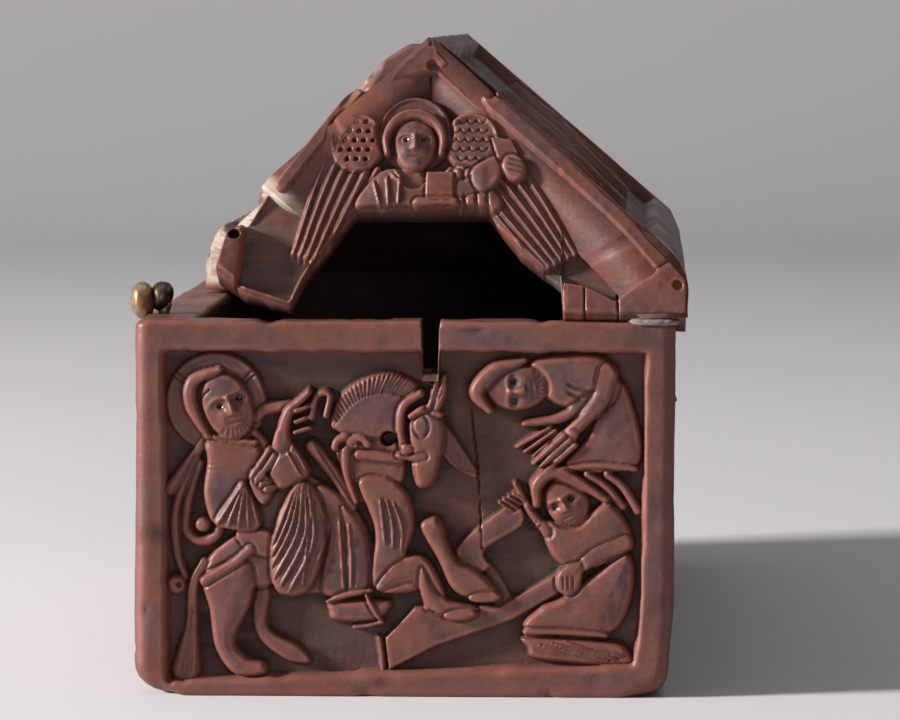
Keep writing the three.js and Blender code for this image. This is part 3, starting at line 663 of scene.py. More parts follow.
def front_grid(columns, rows):
    """A grid stretched between the field's four edges, a little larger all round."""
    s, t = np.meshgrid(np.linspace(0, 1, columns), np.linspace(0, 1, rows))
    left = FIELD_LEFT[0] + (FIELD_LEFT[1] - FIELD_LEFT[0]) * t - TUCK
    right = FIELD_RIGHT[0] + (FIELD_RIGHT[1] - FIELD_RIGHT[0]) * t ** 0.6 + TUCK
    across = left + (right - left) * s
    foot = FIELD_FOOT[0] + (FIELD_FOOT[1] - FIELD_FOOT[0]) * s - TUCK
    level = foot + (FIELD_TOP + TUCK - foot) * t
    shorter = 1 - (FIELD_TOP + TUCK - NOTCH[2]) / (FIELD_TOP + TUCK - DIP_START) * notch_dip(across)
    return across, np.where(level > DIP_START, DIP_START + (level - DIP_START) * shorter, level)


across, up = front_grid(*FRONT_GRID)
ground = 0.16 * wander(across, up, 7, 1) + 0.07 * wander(across * 0.6, up * 2.2, 2.2, 2)
front = Field(across, up, ground)
print("front field", across.min(), across.max(), up.min(), up.max())

# %% Folds and hands
def fan(field, starts, ends, bend, count, width=0.35, height=0.4):
    """Folds that leave one edge and spread along another: a thin ridge beside a groove, each bent more."""
    starts, ends = smooth_path(starts, 0.1), smooth_path(ends, 0.1)
    for share in np.linspace(0, 1, count):
        start = starts[int(share * (len(starts) - 1))]
        end = ends[int(share * (len(ends) - 1))]
        path = np.vstack([start, (start + end) / 2 + share * np.array(bend), end])
        field.cut(path + [0.35, 0], 0.3, 0.3, tapered=False)
        field.ridge(path, width, height)


def fingers(field, knuckle, tip, knuckle_step, tip_step, count, width, top):
    """Fingers side by side: each goes one step on from the last, at the knuckle and at the tip."""
    for finger in range(count):
        start = np.array(knuckle) + finger * np.array(knuckle_step)
        end = np.array(tip) + finger * np.array(tip_step)
        field.limb(np.vstack([start, (start + end) / 2, end]), [width, width, 0.8 * width], [top, top - 0.3])


# %% [markdown]
# ## The rider
# The rider sits turned toward us in a cloak, one hand raised in blessing and the other at the reins. The
# nimbus is a disc barely above the ground with a cross cut on it. Cloth edges are thin raised lines.

# %% Nimbus and ribbons
HALO = (-24.5, 38.5)
HALO_RADIUS = 6.5
CROSS_ARMS = (38, 145)               # degrees
LOW_CURL = (-29.6, 14.5)
HIGH_CURL = (-26.2, 22.4)


def carve_nimbus(field):
    field.oval(*HALO, HALO_RADIUS, HALO_RADIUS, 0, 1.25, edge=0.5, crown=0.1)
    field.ridge(arc(*HALO, HALO_RADIUS - 0.4, -100, 250, 30), 0.7, 0.18)
    for arm in CROSS_ARMS:
        for angle in (arm - 3, arm + 3):
            spoke = [arc(*HALO, radius, angle, angle, 1)[0] for radius in (3.2, 4.8, 6.3)]
            field.cut(spoke, 0.42, 0.5, tapered=False)


def carve_ribbons(field):
    field.limb([(-25.5, 34), (-28, 30.5), (-30.5, 27)], [1.1, 1.5, 1.9], [1.4, 1.8, 1.5])
    field.limb([(-27, 31), (-29.6, 25), (-29.6, 19), (-28.5, 15.5)], [0.9, 1.4, 1.0], [1.3, 1.6, 1.5])
    field.oval(*LOW_CURL, 1.3, 1.3, 0, 1.7, edge=0.8, crown=0.2)
    field.ridge(arc(*LOW_CURL, 0.85, -60, 160, 10), 0.5, 0.3)
    field.drill(LOW_CURL[0] + 0.3, LOW_CURL[1], 0.35, 0.6)
    curl = np.vstack([[(-26.5, 30.5), (-28, 26)], arc(*HIGH_CURL, 2.2, 180, 400, 7)])
    field.limb(curl, [0.9, 1.4, 1.5, 1.1], [1.3, 1.9, 2.4])
    field.oval(*HIGH_CURL, 0.95, 0.95, 0, 2.3, edge=0.7, crown=0.2)


def carve_saddle_cloth(field):
    field.form([(-18.5, 28), (-14, 29.5), (-7, 25), (-4.3, 20), (-4.5, 14), (-15, 13.8), (-19.5, 18)], 1.35,
               edge=0.6, crown=0.2)
    field.form([(-9, 34), (-1.2, 33.5), (-0.5, 28.5), (-6, 25.5)], 1.2, edge=0.5, crown=0.1)


carve_saddle_cloth(front)
carve_nimbus(front)
carve_ribbons(front)

# %% The rider's body, skirt and leg
def carve_torso(field):
    field.limb([(-19.5, 36.5), (-17.8, 37.6), (-15, 38)], [1.3, 1.8, 1.5], [1.7, 2.0])
    field.limb([(-19.5, 34.5), (-18.4, 33), (-18, 31)], [1.2, 1.6, 1.4], [1.7])
    field.form([(-25.3, 33.5), (-19.5, 33), (-18.7, 31), (-20.5, 28), (-24.3, 22.5), (-26, 26),
                (-25.6, 30.5)], 2.25, edge=0.8, crown=0.35)
    field.limb([(-25, 34), (-22, 33.6), (-19.4, 33.2)], [0.8], [2.3])
    for belt in (29.6, 30.3):
        field.cut([(-25.6, belt), (-24.6, belt + 0.1), (-23.6, belt)], 0.28, 0.3)


def carve_sleeve(field):
    field.form([(-17.3, 32.5), (-16.3, 35), (-14, 32.5), (-12.4, 29.2), (-16, 27.2), (-17.6, 29)], 2.6,
               edge=0.7, crown=0.35)
    fan(field, [(-16.5, 34.5), (-15.9, 35)], [(-13.3, 28.8), (-12.5, 29.3)], (0.3, 0), 2)


def carve_skirt(field):
    field.form([(-14, 28), (-16.5, 23.5), (-17.4, 18), (-16.5, 13.6), (-13, 13.5), (-11, 17), (-10.2, 22),
                (-11.5, 27)], 2.55, edge=0.8, crown=0.4)
    fan(field, [(-14.2, 27.6), (-12.6, 27.8)], [(-17.1, 20), (-17.2, 16), (-15, 13.6)], (2.0, 0), 6)
    fan(field, [(-11.9, 27), (-11.2, 26)], [(-13.2, 14.6), (-11.3, 17.6)], (1.2, 0), 2)


def carve_leg(field):
    field.form([(-11.5, 27.5), (-7.5, 25.7), (-5, 21), (-4.8, 14.2), (-10.6, 13.4), (-10, 21)], 2.0, edge=0.8,
               crown=0.4)
    field.form([(-8, 25), (-5.5, 21.5), (-5, 14.5), (-7.3, 14), (-7.7, 22)], 2.35, edge=0.6, crown=0.3)
    fan(field, [(-8.5, 23.5), (-7.3, 22.5)], [(-7.9, 14.2), (-7, 14.4)], (0.2, 0), 2)
    field.limb([(-10, 12.3), (-7.5, 13.3), (-4.5, 13.9)], [0.7, 0.9, 0.7], [2.45])
    field.form([(-9.5, 12.3), (-2.3, 12.6), (-2.3, 11), (-4.5, 9.8), (-9, 9.8), (-9.9, 11)], 1.9, edge=1.0,
               crown=0.4)
    field.limb([(-5, 13.2), (-4, 11.3), (-3, 9.7)], [0.6], [2.5])
    field.limb([(-6.6, 9), (-5, 9.2), (-3, 9.7)], [0.5], [2.2])


def carve_blessing_arm(field):
    field.form([(-20.7, 28), (-18.8, 22.2), (-24.4, 22.5), (-22.3, 26.5)], 2.75, edge=0.5, crown=0.25)
    fan(field, [(-21, 27.8), (-20.3, 28)], [(-24.2, 22.6), (-21.5, 22.2), (-18.8, 22.3)], (0, 0), 5)
    field.form([(-20.1, 29), (-19, 30), (-17, 27.6), (-18.2, 25.2), (-19.6, 26.6)], 2.9, edge=0.5, crown=0.2)
    fingers(field, (-19.6, 28.8), (-17.5, 32.4), (0.6, -0.4), (0.7, -0.7), 2, 0.95, 3.1)
    fingers(field, (-18.4, 27.8), (-17.5, 28.0), (0.6, -0.6), (0.6, -0.6), 2, 0.85, 3.1)


carve_torso(front)
carve_leg(front)
carve_sleeve(front)

# %% [markdown]
# ## The donkey
# The donkey walks to the right with its head turned to us. Its mane is a band of even gouge cuts between
# two curves, so one loop cuts it, and the tail is one strip that widens to its tuft.

# %% Haunch, tail, neck and legs
def carve_donkey_haunch(field):
    field.form([(-19.3, 14), (-17.5, 14), (-17.7, 9), (-13.5, 6.3), (-12.2, 4.2), (-15.5, 4.6), (-19.4, 8.2)],
               1.5, edge=0.7, crown=0.3)
    field.form([(-26, 17.5), (-21.3, 21.3), (-17.5, 19), (-17.4, 14.5), (-26, 15)], 1.9, edge=0.8, crown=0.3)
    field.form([(-26, 15.8), (-20.3, 17.6), (-19.7, 13), (-22, 7.5), (-20.5, 5.1), (-18.1, 4.2), (-18.2, 2.7),
                (-22, 2.7), (-24.5, 6), (-25.3, 11)], 2.3, edge=0.9, crown=0.5, crown_reach=3.0)
    field.form([(-21.6, 21.7), (-17.3, 21.4), (-17.3, 18.4), (-20.6, 19.5)], 2.45, edge=0.35, crown=0.15)
    field.limb([(-26, 15), (-22, 17.5), (-20, 19.3)], [1.3, 1.3, 1.2], [2.75])


def carve_tail(field):
    field.limb([(-26, 17.6), (-27.4, 14.5), (-27.7, 9), (-28.4, 3.2)], [1.1, 1.3, 1.6, 4.0], [1.9], flat=0.5)
    for tuft in (-0.9, -0.2, 0.5, 1.2):
        field.cut([(-27.2 + 0.2 * tuft, 12), (-27.6 + 0.6 * tuft, 7), (-28.2 + tuft, 2.8)], 0.32, 0.3)


def carve_donkey_neck(field):
    mane = [(-9.6, 35.7), (-8.5, 39.2), (-6, 41.3), (-2.7, 42.3), (0, 41.8), (1.5, 40.4)]
    mane_foot = [(-9.2, 35.5), (-6.3, 38.8), (-3, 39.8), (0, 39.3)]
    field.form(mane + [(-0.5, 37), (-1, 34.7), (-5, 32.8), (-8.5, 34.6)], 1.95, edge=0.6, crown=0.3)
    comb(field, mane_foot, mane, 25, 0.42, 0.42)
    field.form([(-6.9, 33.3), (-1, 32.9), (-0.6, 28), (-6.2, 27.7)], 1.7, edge=0.5, crown=0.2)
    # A deep hole in the neck, painted black as shade.
    field.drill(-2.2, 33.8, 1.05, 2.6, shade_and_stain=1.0)


def carve_breast_and_forelegs(field):
    field.form([(-6, 28), (-2.7, 28.7), (0.3, 26.6), (1.2, 22.5), (0.2, 18.5), (2.6, 17), (3, 14.3),
                (-3.9, 14), (-4, 22)], 2.2, edge=0.8, crown=0.4)
    fan(field, [(-3.2, 26), (-1.5, 25.5)], [(-2.6, 20), (-0.5, 19)], (0.6, 0), 3)
    field.form([(-1.2, 17.6), (2.6, 18.2), (5.3, 12.8), (2.8, 11.4), (1.2, 15), (-3.6, 14)], 2.35, edge=0.6,
               crown=0.3)
    field.form([(1.9, 22.2), (3.2, 23.5), (4.6, 23), (6.6, 18.2), (10.2, 16), (12.3, 12.9), (8.6, 12.8),
                (6, 14.2), (4.2, 18)], 2.45, edge=0.9, crown=0.5)
    field.form([(2.2, 17), (4.6, 13.3), (9.4, 11.6), (5, 10.7), (2.2, 13)], 2.55, edge=0.7, crown=0.35)
    for hoof_x, hoof_up in ((10.4, 13.1), (7.2, 10.8)):
        field.oval(hoof_x, hoof_up, 2.1, 0.7, 5, 2.75, edge=0.4, crown=0.15)


carve_donkey_haunch(front)
carve_tail(front)
carve_skirt(front)
carve_donkey_neck(front)

# %% The road, the cloth and the donkey's head
def carve_cloth(field):
    field.form([(7, 19.8), (13.8, 25.1), (15.2, 22.6), (10.2, 19.2), (11.6, 16.5), (8, 17.1)], 1.75, edge=0.3,
               crown=0.1)
    field.form([(10.4, 15.8), (11.8, 16.5), (14, 12), (11.2, 12.4)], 0.8, edge=0.3, crown=0.05)


def carve_road(field):
    field.form([(-2.6, 7.5), (1.3, 11.6), (12.4, 11.8), (19.7, 16.1), (20.1, 13.7), (13.8, 10), (4, 6.6),
                (-2.1, 3.4)], 1.7, edge=0.3, crown=0.1, smooth=False)
    field.limb([(-3.4, 7.5), (-3.1, 5.2), (-2.9, 3.1)], [0.8], [1.3])
    field.cut([(-2.7, 7.3), (-2.5, 5.3), (-2.3, 3.4)], 0.4, 0.5, tapered=False)


def carve_rein_arm(field):
    field.limb([(-16, 33), (-15.2, 36.8), (-12.4, 39.9)], [2.2, 1.7, 0.9], [2.8])
    fingers(field, (-14.2, 34.6), (-12.3, 35.2), (0.1, 1.4), (0.1, 1.5), 3, 0.75, 2.8)
    field.limb([(-12.1, 36.5), (-11.4, 39.3), (-9.8, 39.5), (-10.2, 36.8)], [0.9], [2.3, 2.6])


def carve_reins(field):
    field.limb([(-12.1, 32.7), (-9.2, 29), (-6.7, 24.9)], [2.0, 1.8, 1.0], [1.9])
    field.cut([(-11.4, 32.6), (-9, 29), (-6.7, 25.2)], 0.35, 0.5)
    for loop_x in (-7.8, -6.0):
        field.limb(arc(loop_x, 32.6, 1.3, 180, 20, 6), [1.1], [2.3, 2.5])
    field.limb([(-7.7, 32.2), (-7.5, 29), (-6.3, 25.5)], [1.3, 1.1, 0.6], [2.3])
    field.limb([(-6, 31.7), (-3.4, 31.5), (-0.7, 31.1)], [1.2, 1.5, 1.2], [2.4])


def carve_donkey_head(field):
    field.form([(4.6, 36.2), (9.4, 29.1), (6.7, 29.8), (4.1, 32.9)], 1.5, edge=0.35, crown=0.15)
    comb(field, [(5.4, 35.3), (4.1, 33.5)], [(9.2, 29.4), (6.9, 29.9)], 6, 0.35, 0.4)
    field.form([(0.9, 37), (2.5, 37.6), (4.6, 36.8), (5, 34), (3.8, 28.3), (1.4, 27.8), (0.4, 34.5)], 2.7,
               edge=1.0, crown=0.4, crown_reach=1.8)
    field.cut([(0.9, 32), (1.2, 30), (1.4, 28)], 0.45, 0.7)
    field.oval(2.1, 35.5, 0.75, 1.4, 5, 3.0, edge=0.35, crown=0.15)
    field.cut(arc(2.1, 35.5, 1.2, 0, 360, 14), 0.3, 0.35, tapered=False)
    field.limb([(0.7, 36.8), (2.6, 37.8), (4.6, 37)], [0.9, 1.0, 0.8], [3.05])
    field.limb([(2, 39.7), (-0.2, 38), (-0.6, 35.3), (-0.1, 32.6)], [1.2], [2.7, 2.95])
    field.limb([(-0.7, 31.7), (0.9, 31.3), (2.5, 31.6)], [0.9], [3.0])
    field.oval(0.3, 32.5, 0.65, 0.65, 0, 3.0, edge=0.4, crown=0.15)
    for ear_foot, ear_tip in (((3.2, 38), (4.2, 42.1)), ((4.2, 38), (5.1, 42))):
        middle = ((ear_foot[0] + ear_tip[0]) / 2 + 0.2, 40)
        field.limb([ear_foot, middle, ear_tip], [1.1, 1.2, 0.6], [2.5, 2.8])
        field.cut([(ear_foot[0] + 0.2, 39), middle, ear_tip], 0.3, 0.3)


carve_cloth(front)
carve_road(front)
carve_breast_and_forelegs(front)
carve_blessing_arm(front)
carve_rein_arm(front)
carve_reins(front)
carve_donkey_head(front)

# %% The rider's head
def carve_rider_head(field):
    face(field, -23, 38, 3.2, 4.5, 22, 0.7, 2.3, pupil=0.15, beard=True)
    field.cut([(-25.2, 40.2), (-26.4, 38.5), (-25, 35)], 0.3, 0.6, tapered=False)
    field.limb([(-25.5, 34), (-27.6, 38), (-27.4, 41.2), (-24, 42.8)], [0.9, 1.9, 1.9, 0.9], [2.4, 2.9, 2.7])


carve_rider_head(front)

# %% [markdown]
# ## The two men at the gate
# One man bends from above and reaches down with both hands. The other kneels and holds the end of the
# cloth. Both backs are long smooth forms, and their heads use the same face by proportion.

# %% The bending man
def carve_bending_man(field):
    field.form([(26.5, 41), (29, 39.7), (30.2, 30.6), (20.9, 30), (24, 34.5)], 1.9, edge=0.6, crown=0.3)
    field.limb([(20.6, 29.9), (25, 30.4), (29.9, 29.9)], [0.8], [2.3])
    for drape in range(3):
        band = [(21 + 2.6 * drape, 29.2), (23.8 + 2.2 * drape, 27.6),
                (26.2 + 2.0 * drape, 25.6 - 0.6 * drape)]
        field.limb(band, [1.1, 1.3], [2.1, 1.9])
    field.form([(16.1, 43.6), (21.7, 44.9), (26, 44.3), (27.8, 41), (26, 38), (22.5, 37.7), (18.5, 39)], 2.2,
               edge=1.0, crown=0.5, crown_reach=3.5)
    for fold_up in (40.0, 41.1):
        field.cut([(21, fold_up), (22.3, fold_up - 0.6), (23.6, fold_up - 0.9)], 0.6, 0.4)
    field.limb([(24.2, 39.2), (20.2, 36.6), (15.5, 35.8)], [1.9, 1.5, 0.8], [2.3, 2.5])
    fingers(field, (18.8, 35.3), (14.5, 32.8), (0.7, -0.35), (1.1, -0.6), 4, 0.75, 2.2)
    field.limb([(26.3, 42.5), (25, 38.5), (19.8, 33)], [2.7, 2.3, 1.9], [2.5, 2.8, 2.6])
    field.form([(21, 34.8), (22.5, 34.6), (21, 31.8), (18, 30.4), (18.8, 32.3)], 2.5, edge=0.6, crown=0.25)
    fingers(field, (20.6, 34.2), (16.7, 30.7), (0.75, -0.55), (0.9, -0.45), 3, 0.85, 2.7)
    face(field, 14.5, 40.5, 3.0, 4.0, 92, -0.6, 1.9, pupil=0.17, beard=True)
    field.limb([(15.5, 44.1), (11.6, 42.8), (9.3, 40), (11, 37.5)], [0.9, 2.2, 2.4, 1.1], [2.3, 2.8, 2.7])


carve_bending_man(front)

# %% The kneeling man
def carve_kneeling_man(field):
    field.form([(16, 7.9), (27, 7.2), (29.5, 6), (29.3, 4.1), (18, 4.8), (16.2, 6.3)], 1.8,
               edge=0.9, crown=0.3)
    fan(field, [(17.6, 6.8), (21, 7.3)], [(27, 4.7), (29, 5.4)], (0, -0.3), 3)
    field.form([(20.2, 13), (24.5, 16), (28.8, 19), (29.6, 14), (26.5, 8.2), (15.9, 8.9), (17.5, 11.8)], 2.3,
               edge=1.0, crown=0.6, crown_reach=4.0)
    field.limb([(15.9, 8.5), (21, 8.6), (26.4, 8.1)], [1.0, 0.9, 0.7], [2.4])
    field.form([(17.8, 23), (22, 22.6), (26.4, 25.5), (29.4, 20.5), (24.2, 16.8), (19.6, 17.9)], 2.2,
               edge=0.9, crown=0.5, crown_reach=3.0)
    field.limb([(28.6, 20.2), (25, 18.8), (22.9, 17.1)], [2.4, 2.0, 1.7], [2.7])
    field.form([(20, 16.6), (22.8, 17.7), (22.8, 14.8), (21.3, 13.3), (19.8, 14.2)], 2.6,
               edge=0.6, crown=0.25)
    for groove in range(3):
        field.cut([(20.5 + 0.65 * groove, 16), (20.6 + 0.6 * groove, 14.2)], 0.3, 0.35)
    field.limb([(18.4, 21.7), (16.2, 24.5), (14.3, 28)], [1.5, 1.2, 0.7], [2.2, 2.4])
    fingers(field, (12.3, 25.5), (13.8, 24.5), (0.6, 0.4), (0.6, 0.4), 4, 0.6, 2.2)
    fan(field, [(15.7, 21.9), (16.2, 21.5)], [(16.8, 23), (17.3, 22.6)], (0, 0), 2)
    face(field, 21, 25.5, 2.8, 3.3, 28, -0.65, 1.9, pupil=0.17, beard=True)
    field.limb([(17.1, 25.3), (17.2, 28), (20, 29.4), (26, 26)], [1.3, 2.0, 2.1, 1.0], [2.4, 2.7, 2.4])
    field.cut([(19.7, 28.2), (21.7, 27.6), (24.2, 26.1)], 0.3, 0.35)


carve_kneeling_man(front)

# %% Cracks and knife slips
def age_front(field):
    """Drying cracks, short slips of the knife above the rider, and the unevenness of hand work."""
    field.crack([(3.7, 42.6), (3.5, 40.5)], 0.35, 0.8)
    field.crack([(8.5, 37.5), (9.3, 30), (10, 19.5)], 0.16, 1.2)
    for slip in range(7):
        x = -18.2 + 0.45 * slip
        field.cut([(x, 43.9), (x + 0.12, 43.1)], 0.25, 0.25, tapered=False)
    field.height += 0.05 * wander(field.across, field.up, 1.1, 5) * ease(field.height, 0.3, 1.5)
    field.height -= 0.02 * (1 + wander(field.across, field.up, 0.35, 6)) * (1 - ease(field.height, 0.3, 0.8))


age_front(front)
front_cell = FIELD_SPAN / FRONT_GRID[0]
front_relief = slab("front_relief", front, end_place, front_cell)
finish_piece(front_relief, box_wood, "casket_box")

# %% [markdown]
# ## The chest: one skin from underside to floor
# The chest is one hollowed block, so it is one closed skin: it starts under the bottom, runs up the
# outside, over the rim, down the inside and closes on the floor. Going round is the first parameter and
# going along that profile is the second. The four fields are pressed into it as a depth, with edges that
# waver a little, because each was cut by hand.

# %% The chest's plan and profile
CORNER = 1.8                         # radius of the upright corners
RIM_ROUND = 0.9
FLOOR_FILLET = 3.0
POCKET = 0.35                        # how much deeper the skin goes than the ground of the relief


def stations(half, corner, fine, coarse, extra=()):
    """Places along one side, close together over the border and wider apart between."""
    border = np.arange(0, BORDER + 1.6, fine)
    inner = half - corner
    middle = np.linspace(-inner + border[-1], inner - border[-1], int(2 * (inner - border[-1]) / coarse))
    return np.unique(np.round(np.concatenate([-inner + border, middle, inner - border, extra]), 3))


def inward(places, half, new_half):
    """Draws places in toward a smaller half length, leaving the middle where it is."""
    return places * (1 - (1 - new_half / half) * np.abs(places / half) ** 3)


def plan_ring(half_x, half_y, corner, front_places, side_places, bend):
    """One ring of the rounded oblong, anticlockwise from the front left corner: each side's places in
    turn, then a quarter circle of the given radius."""
    x, y = half_x - corner, half_y - corner
    along_x = inward(front_places, front_places.max(), x)
    along_y = inward(side_places, side_places.max(), y)
    quarter = np.linspace(0, np.pi / 2, bend + 2)[1:-1]
    out, over = corner * np.sin(quarter), corner * (1 - np.cos(quarter))
    sides = [np.stack([along_x, np.full_like(along_x, -half_y)], 1), np.stack([x + out, -half_y + over], 1),
             np.stack([np.full_like(along_y, half_x), along_y], 1), np.stack([half_x - over, y + out], 1)]
    half = np.vstack(sides)
    return np.vstack([half, -half])


front_places = stations(HALF_WIDTH, CORNER, 0.4, 0.8, (1.9, 2.1, 2.15, 2.3, 2.45, 3.2, 4.15, 4.3, 4.45, 4.6))
side_places = stations(HALF_LENGTH, CORNER, 0.45, 1.3)
outer_ring = plan_ring(HALF_WIDTH, HALF_LENGTH, CORNER, front_places, side_places, 5)
inner_ring = plan_ring(HALF_WIDTH - WALL[0], HALF_LENGTH - WALL[1], 2.0, front_places, side_places, 5)
print("stations round the chest:", len(outer_ring))

# %% The chest's skin
FOOT_TOP = 4.8                       # where the rounded foot has become the upright face
FOOT_RINGS = 7
LOW_LEVELS = np.arange(5.0, 6.2, 0.4)
MIDDLE_LEVELS = np.linspace(7.0, 42.8, 36)
HIGH_LEVELS = np.arange(43.4, RIM - RIM_ROUND - 0.2, 0.36)
FACE_LEVELS = np.concatenate([LOW_LEVELS, MIDDLE_LEVELS, HIGH_LEVELS])
OUTER_RINGS = 2 * FOOT_RINGS + len(FACE_LEVELS)      # every ring up the outside but the topmost


def foot_radius(ring):
    """The worn lower edges: large on the left, small on the right, smaller still on the ends."""
    left = ease(-ring[:, 0], HALF_WIDTH - 7, HALF_WIDTH - 1)
    right = ease(ring[:, 0], HALF_WIDTH - 7, HALF_WIDTH - 1)
    return 0.8 + 3.6 * left + 2.4 * right


def quarter_turn(start, count):
    """Angles from start to a right angle, given in degrees and returned in radians."""
    return np.radians(np.linspace(start, 90, count))


def chest_rings():
    """All rings from the underside to the floor, as x, y and z arrays of profile by plan."""
    foot = foot_radius(outer_ring)
    direction = (inner_ring - outer_ring) / WALL.max()
    rings, heights = [], []

    def add_ring(ring, level):
        rings.append(ring)
        heights.append(np.broadcast_to(level, len(outer_ring)))

    add_ring(outer_ring * 0.8, 0.0)
    for angle in quarter_turn(0, FOOT_RINGS):
        add_ring(outer_ring + direction * (foot * (1 - math.sin(angle)))[:, None],
                 foot * (1 - math.cos(angle)))
    for share in np.linspace(0.15, 1, FOOT_RINGS):
        add_ring(outer_ring, foot + (FOOT_TOP - foot) * share)
    for level in FACE_LEVELS:
        add_ring(outer_ring, level)
    for angle in quarter_turn(0, 6):
        add_ring(outer_ring + direction * RIM_ROUND * (1 - math.cos(angle)),
                 RIM - RIM_ROUND * (1 - math.sin(angle)))
    for share in np.linspace(0.2, 0.85, 8):
        add_ring(outer_ring + (inner_ring - outer_ring) * share, RIM)
    for angle in quarter_turn(0, 5):
        add_ring(inner_ring - direction * RIM_ROUND * (1 - math.sin(angle)),
                 RIM - RIM_ROUND * (1 - math.cos(angle)))
    for level in np.linspace(RIM - 2, FLOOR + FLOOR_FILLET, 26):
        add_ring(inner_ring, level)
    for angle in quarter_turn(15, 6):
        add_ring(inner_ring * (1 - FLOOR_FILLET * (1 - math.cos(angle)) / HALF_WIDTH),
                 FLOOR + FLOOR_FILLET * (1 - math.sin(angle)))
    ring = np.array(rings)
    return ring[..., 0], ring[..., 1], np.array(heights)


def field_depth(across, up, left, right, foot, top, seed):
    """How far inside a field's wavering outline each place lies."""
    reach = np.minimum(np.minimum(across - left, right - across), np.minimum(up - foot, top - up))
    return reach + 0.07 * wander(across, up, 2.6, seed) + 0.05 * wander(across, up, 0.8, seed + 1)


def press_fields(x, y, z):
    """Moves the outer skin inward over the four fields and dulls the frames' inner edges."""
    outer = np.arange(len(x))[:, None] < OUTER_RINGS
    height_share = z / RIM
    faces = []
    for sign, across, depth in ((-1, x, END_DEPTH), (1, -x, END_DEPTH)):
        left = FIELD_LEFT[0] + (FIELD_LEFT[1] - FIELD_LEFT[0]) * height_share
        right = FIELD_RIGHT[0] + (FIELD_RIGHT[1] - FIELD_RIGHT[0]) * height_share ** 0.6
        foot = FIELD_FOOT[0] + (FIELD_FOOT[1] - FIELD_FOOT[0]) * (across + 30) / 60
        if sign > 0:
            left, right, foot = -31, 31, BORDER
        reach = field_depth(across, z, left, right, foot, FIELD_TOP, 11 + 2 * sign)
        here = outer & (sign * y > HALF_LENGTH - 0.01)
        faces.append((here, reach, depth, "y", -sign))
    for sign in (-1, 1):
        half = HALF_LENGTH - BORDER
        reach = field_depth(sign * y, z, -half, half, BORDER, FIELD_TOP, 21 + 2 * sign)
        here = outer & (sign * x > HALF_WIDTH - 0.01)
        faces.append((here, reach, SIDE_DEPTH, "x", -sign))
    sunk, rub = np.zeros_like(x), np.zeros_like(x)
    for here, reach, depth, axis, way in faces:
        press = (depth + POCKET) * ease(reach, -0.12, 0.2) + 0.14 * ease(reach, -0.5, 0.1) ** 2
        press = np.where(here, press, 0)
        if axis == "y":
            y = y + way * press
        else:
            x = x + way * press
        sunk = np.maximum(sunk, np.where(here, ease(reach, 0.1, 0.7), 0))
        frame_edge = bell(np.minimum(reach + 0.25, 0), 0.45) * (reach < 0.2)
        rub = np.maximum(rub, np.where(here, frame_edge, 0))
    return x, y, sunk, rub


x, y, z = chest_rings()
x, y, sunk, rub = press_fields(x, y, z)
print("chest grid", x.shape)

# %% Wear, painted shade and sheen, the notch and the foot
def wear_chest(x, y, z):
    """Uneven wear: the faces wander by a tenth of a millimetre and take shallow dents."""
    ring = np.arange(len(x))[:, None]
    outside = ring < OUTER_RINGS + 6
    swell = 0.12 * wander(x + y, z, 9, 31) + 0.06 * wander((x + y) * 0.7, z, 2.5, 32)
    dents = -0.35 * ease(wander(x - y, z * 1.7, 3.1, 33), 0.62, 0.9)
    push = np.where(outside, swell + dents, 0.04 * wander(x + y, z, 5, 34))
    on_end = np.abs(y) / HALF_LENGTH > np.abs(x) / HALF_WIDTH
    x = x + np.where(on_end, 0, np.sign(x) * push)
    y = y + np.where(on_end, np.sign(y) * push, 0)
    return x, y


def lower_rim(x, y, z):
    """Brings the top down to the notch's bottom and into small chips, by closing up the last rings."""
    front_side = ease(-y, HALF_LENGTH - WALL[1] - 2, HALF_LENGTH - WALL[1] - 1)
    floor_line = RIM - (RIM - NOTCH[2] + 0.5) * notch_dip(x) * front_side
    chips = 0.35 * ease(wander(x, y, 2.2, 41), 0.5, 0.85) + 0.12 * wander(x, y, 4, 42)
    for chip_x, chip_wide, chip_deep in ((-17.6, 1.0, 0.45), (17.6, 0.7, 0.35), (31.5, 1.2, 0.3)):
        chips = chips + chip_deep * bell(x - chip_x, chip_wide) * front_side
    floor_line = floor_line - np.clip(chips, -0.1, 0.6)
    closed_up = DIP_START + (z - DIP_START) * (floor_line - DIP_START) / (RIM - DIP_START)
    return np.where(z > DIP_START, closed_up, z)


x, y = wear_chest(x, y, z)
z = lower_rim(x, y, z)
x = true_width(x, z)


def wrap_mesh(name, x, y, z, masks):
    """A closed skin from rings: quads between them, one flat face under the first and over the last."""
    rows, columns = x.shape
    number = np.arange(rows * columns).reshape(rows, columns)
    beside = np.roll(number, -1, axis=1)
    quads = np.stack([number[:-1], beside[:-1], beside[1:], number[1:]], axis=-1).reshape(-1, 4)
    points = np.stack([x, y, z], axis=-1).reshape(-1, 3)
    return put_mesh(name, points, quads, [number[0, ::-1], number[-1]], masks)


CORNER_WEAR = 0.9                    # how far rubbing reaches in from an upright edge
STAIN = (-32.4, 21.3)                # middle of the dark knot on the front frame

edge_x = bell(HALF_WIDTH - np.abs(x), CORNER_WEAR)
edge_y = bell(HALF_LENGTH - np.abs(y), CORNER_WEAR)
outline_edge = np.maximum(edge_x, edge_y)
upright = edge_x * edge_y
# The outer top arris is lightened as wear; the whole rim top is lightened as a painted sheen.
rim_wear_and_sheen = bell(RIM - z, 0.7) * outline_edge + bell(RIM - z, 0.35) * 0.4
foot_edge = bell(z, 1.2) * outline_edge
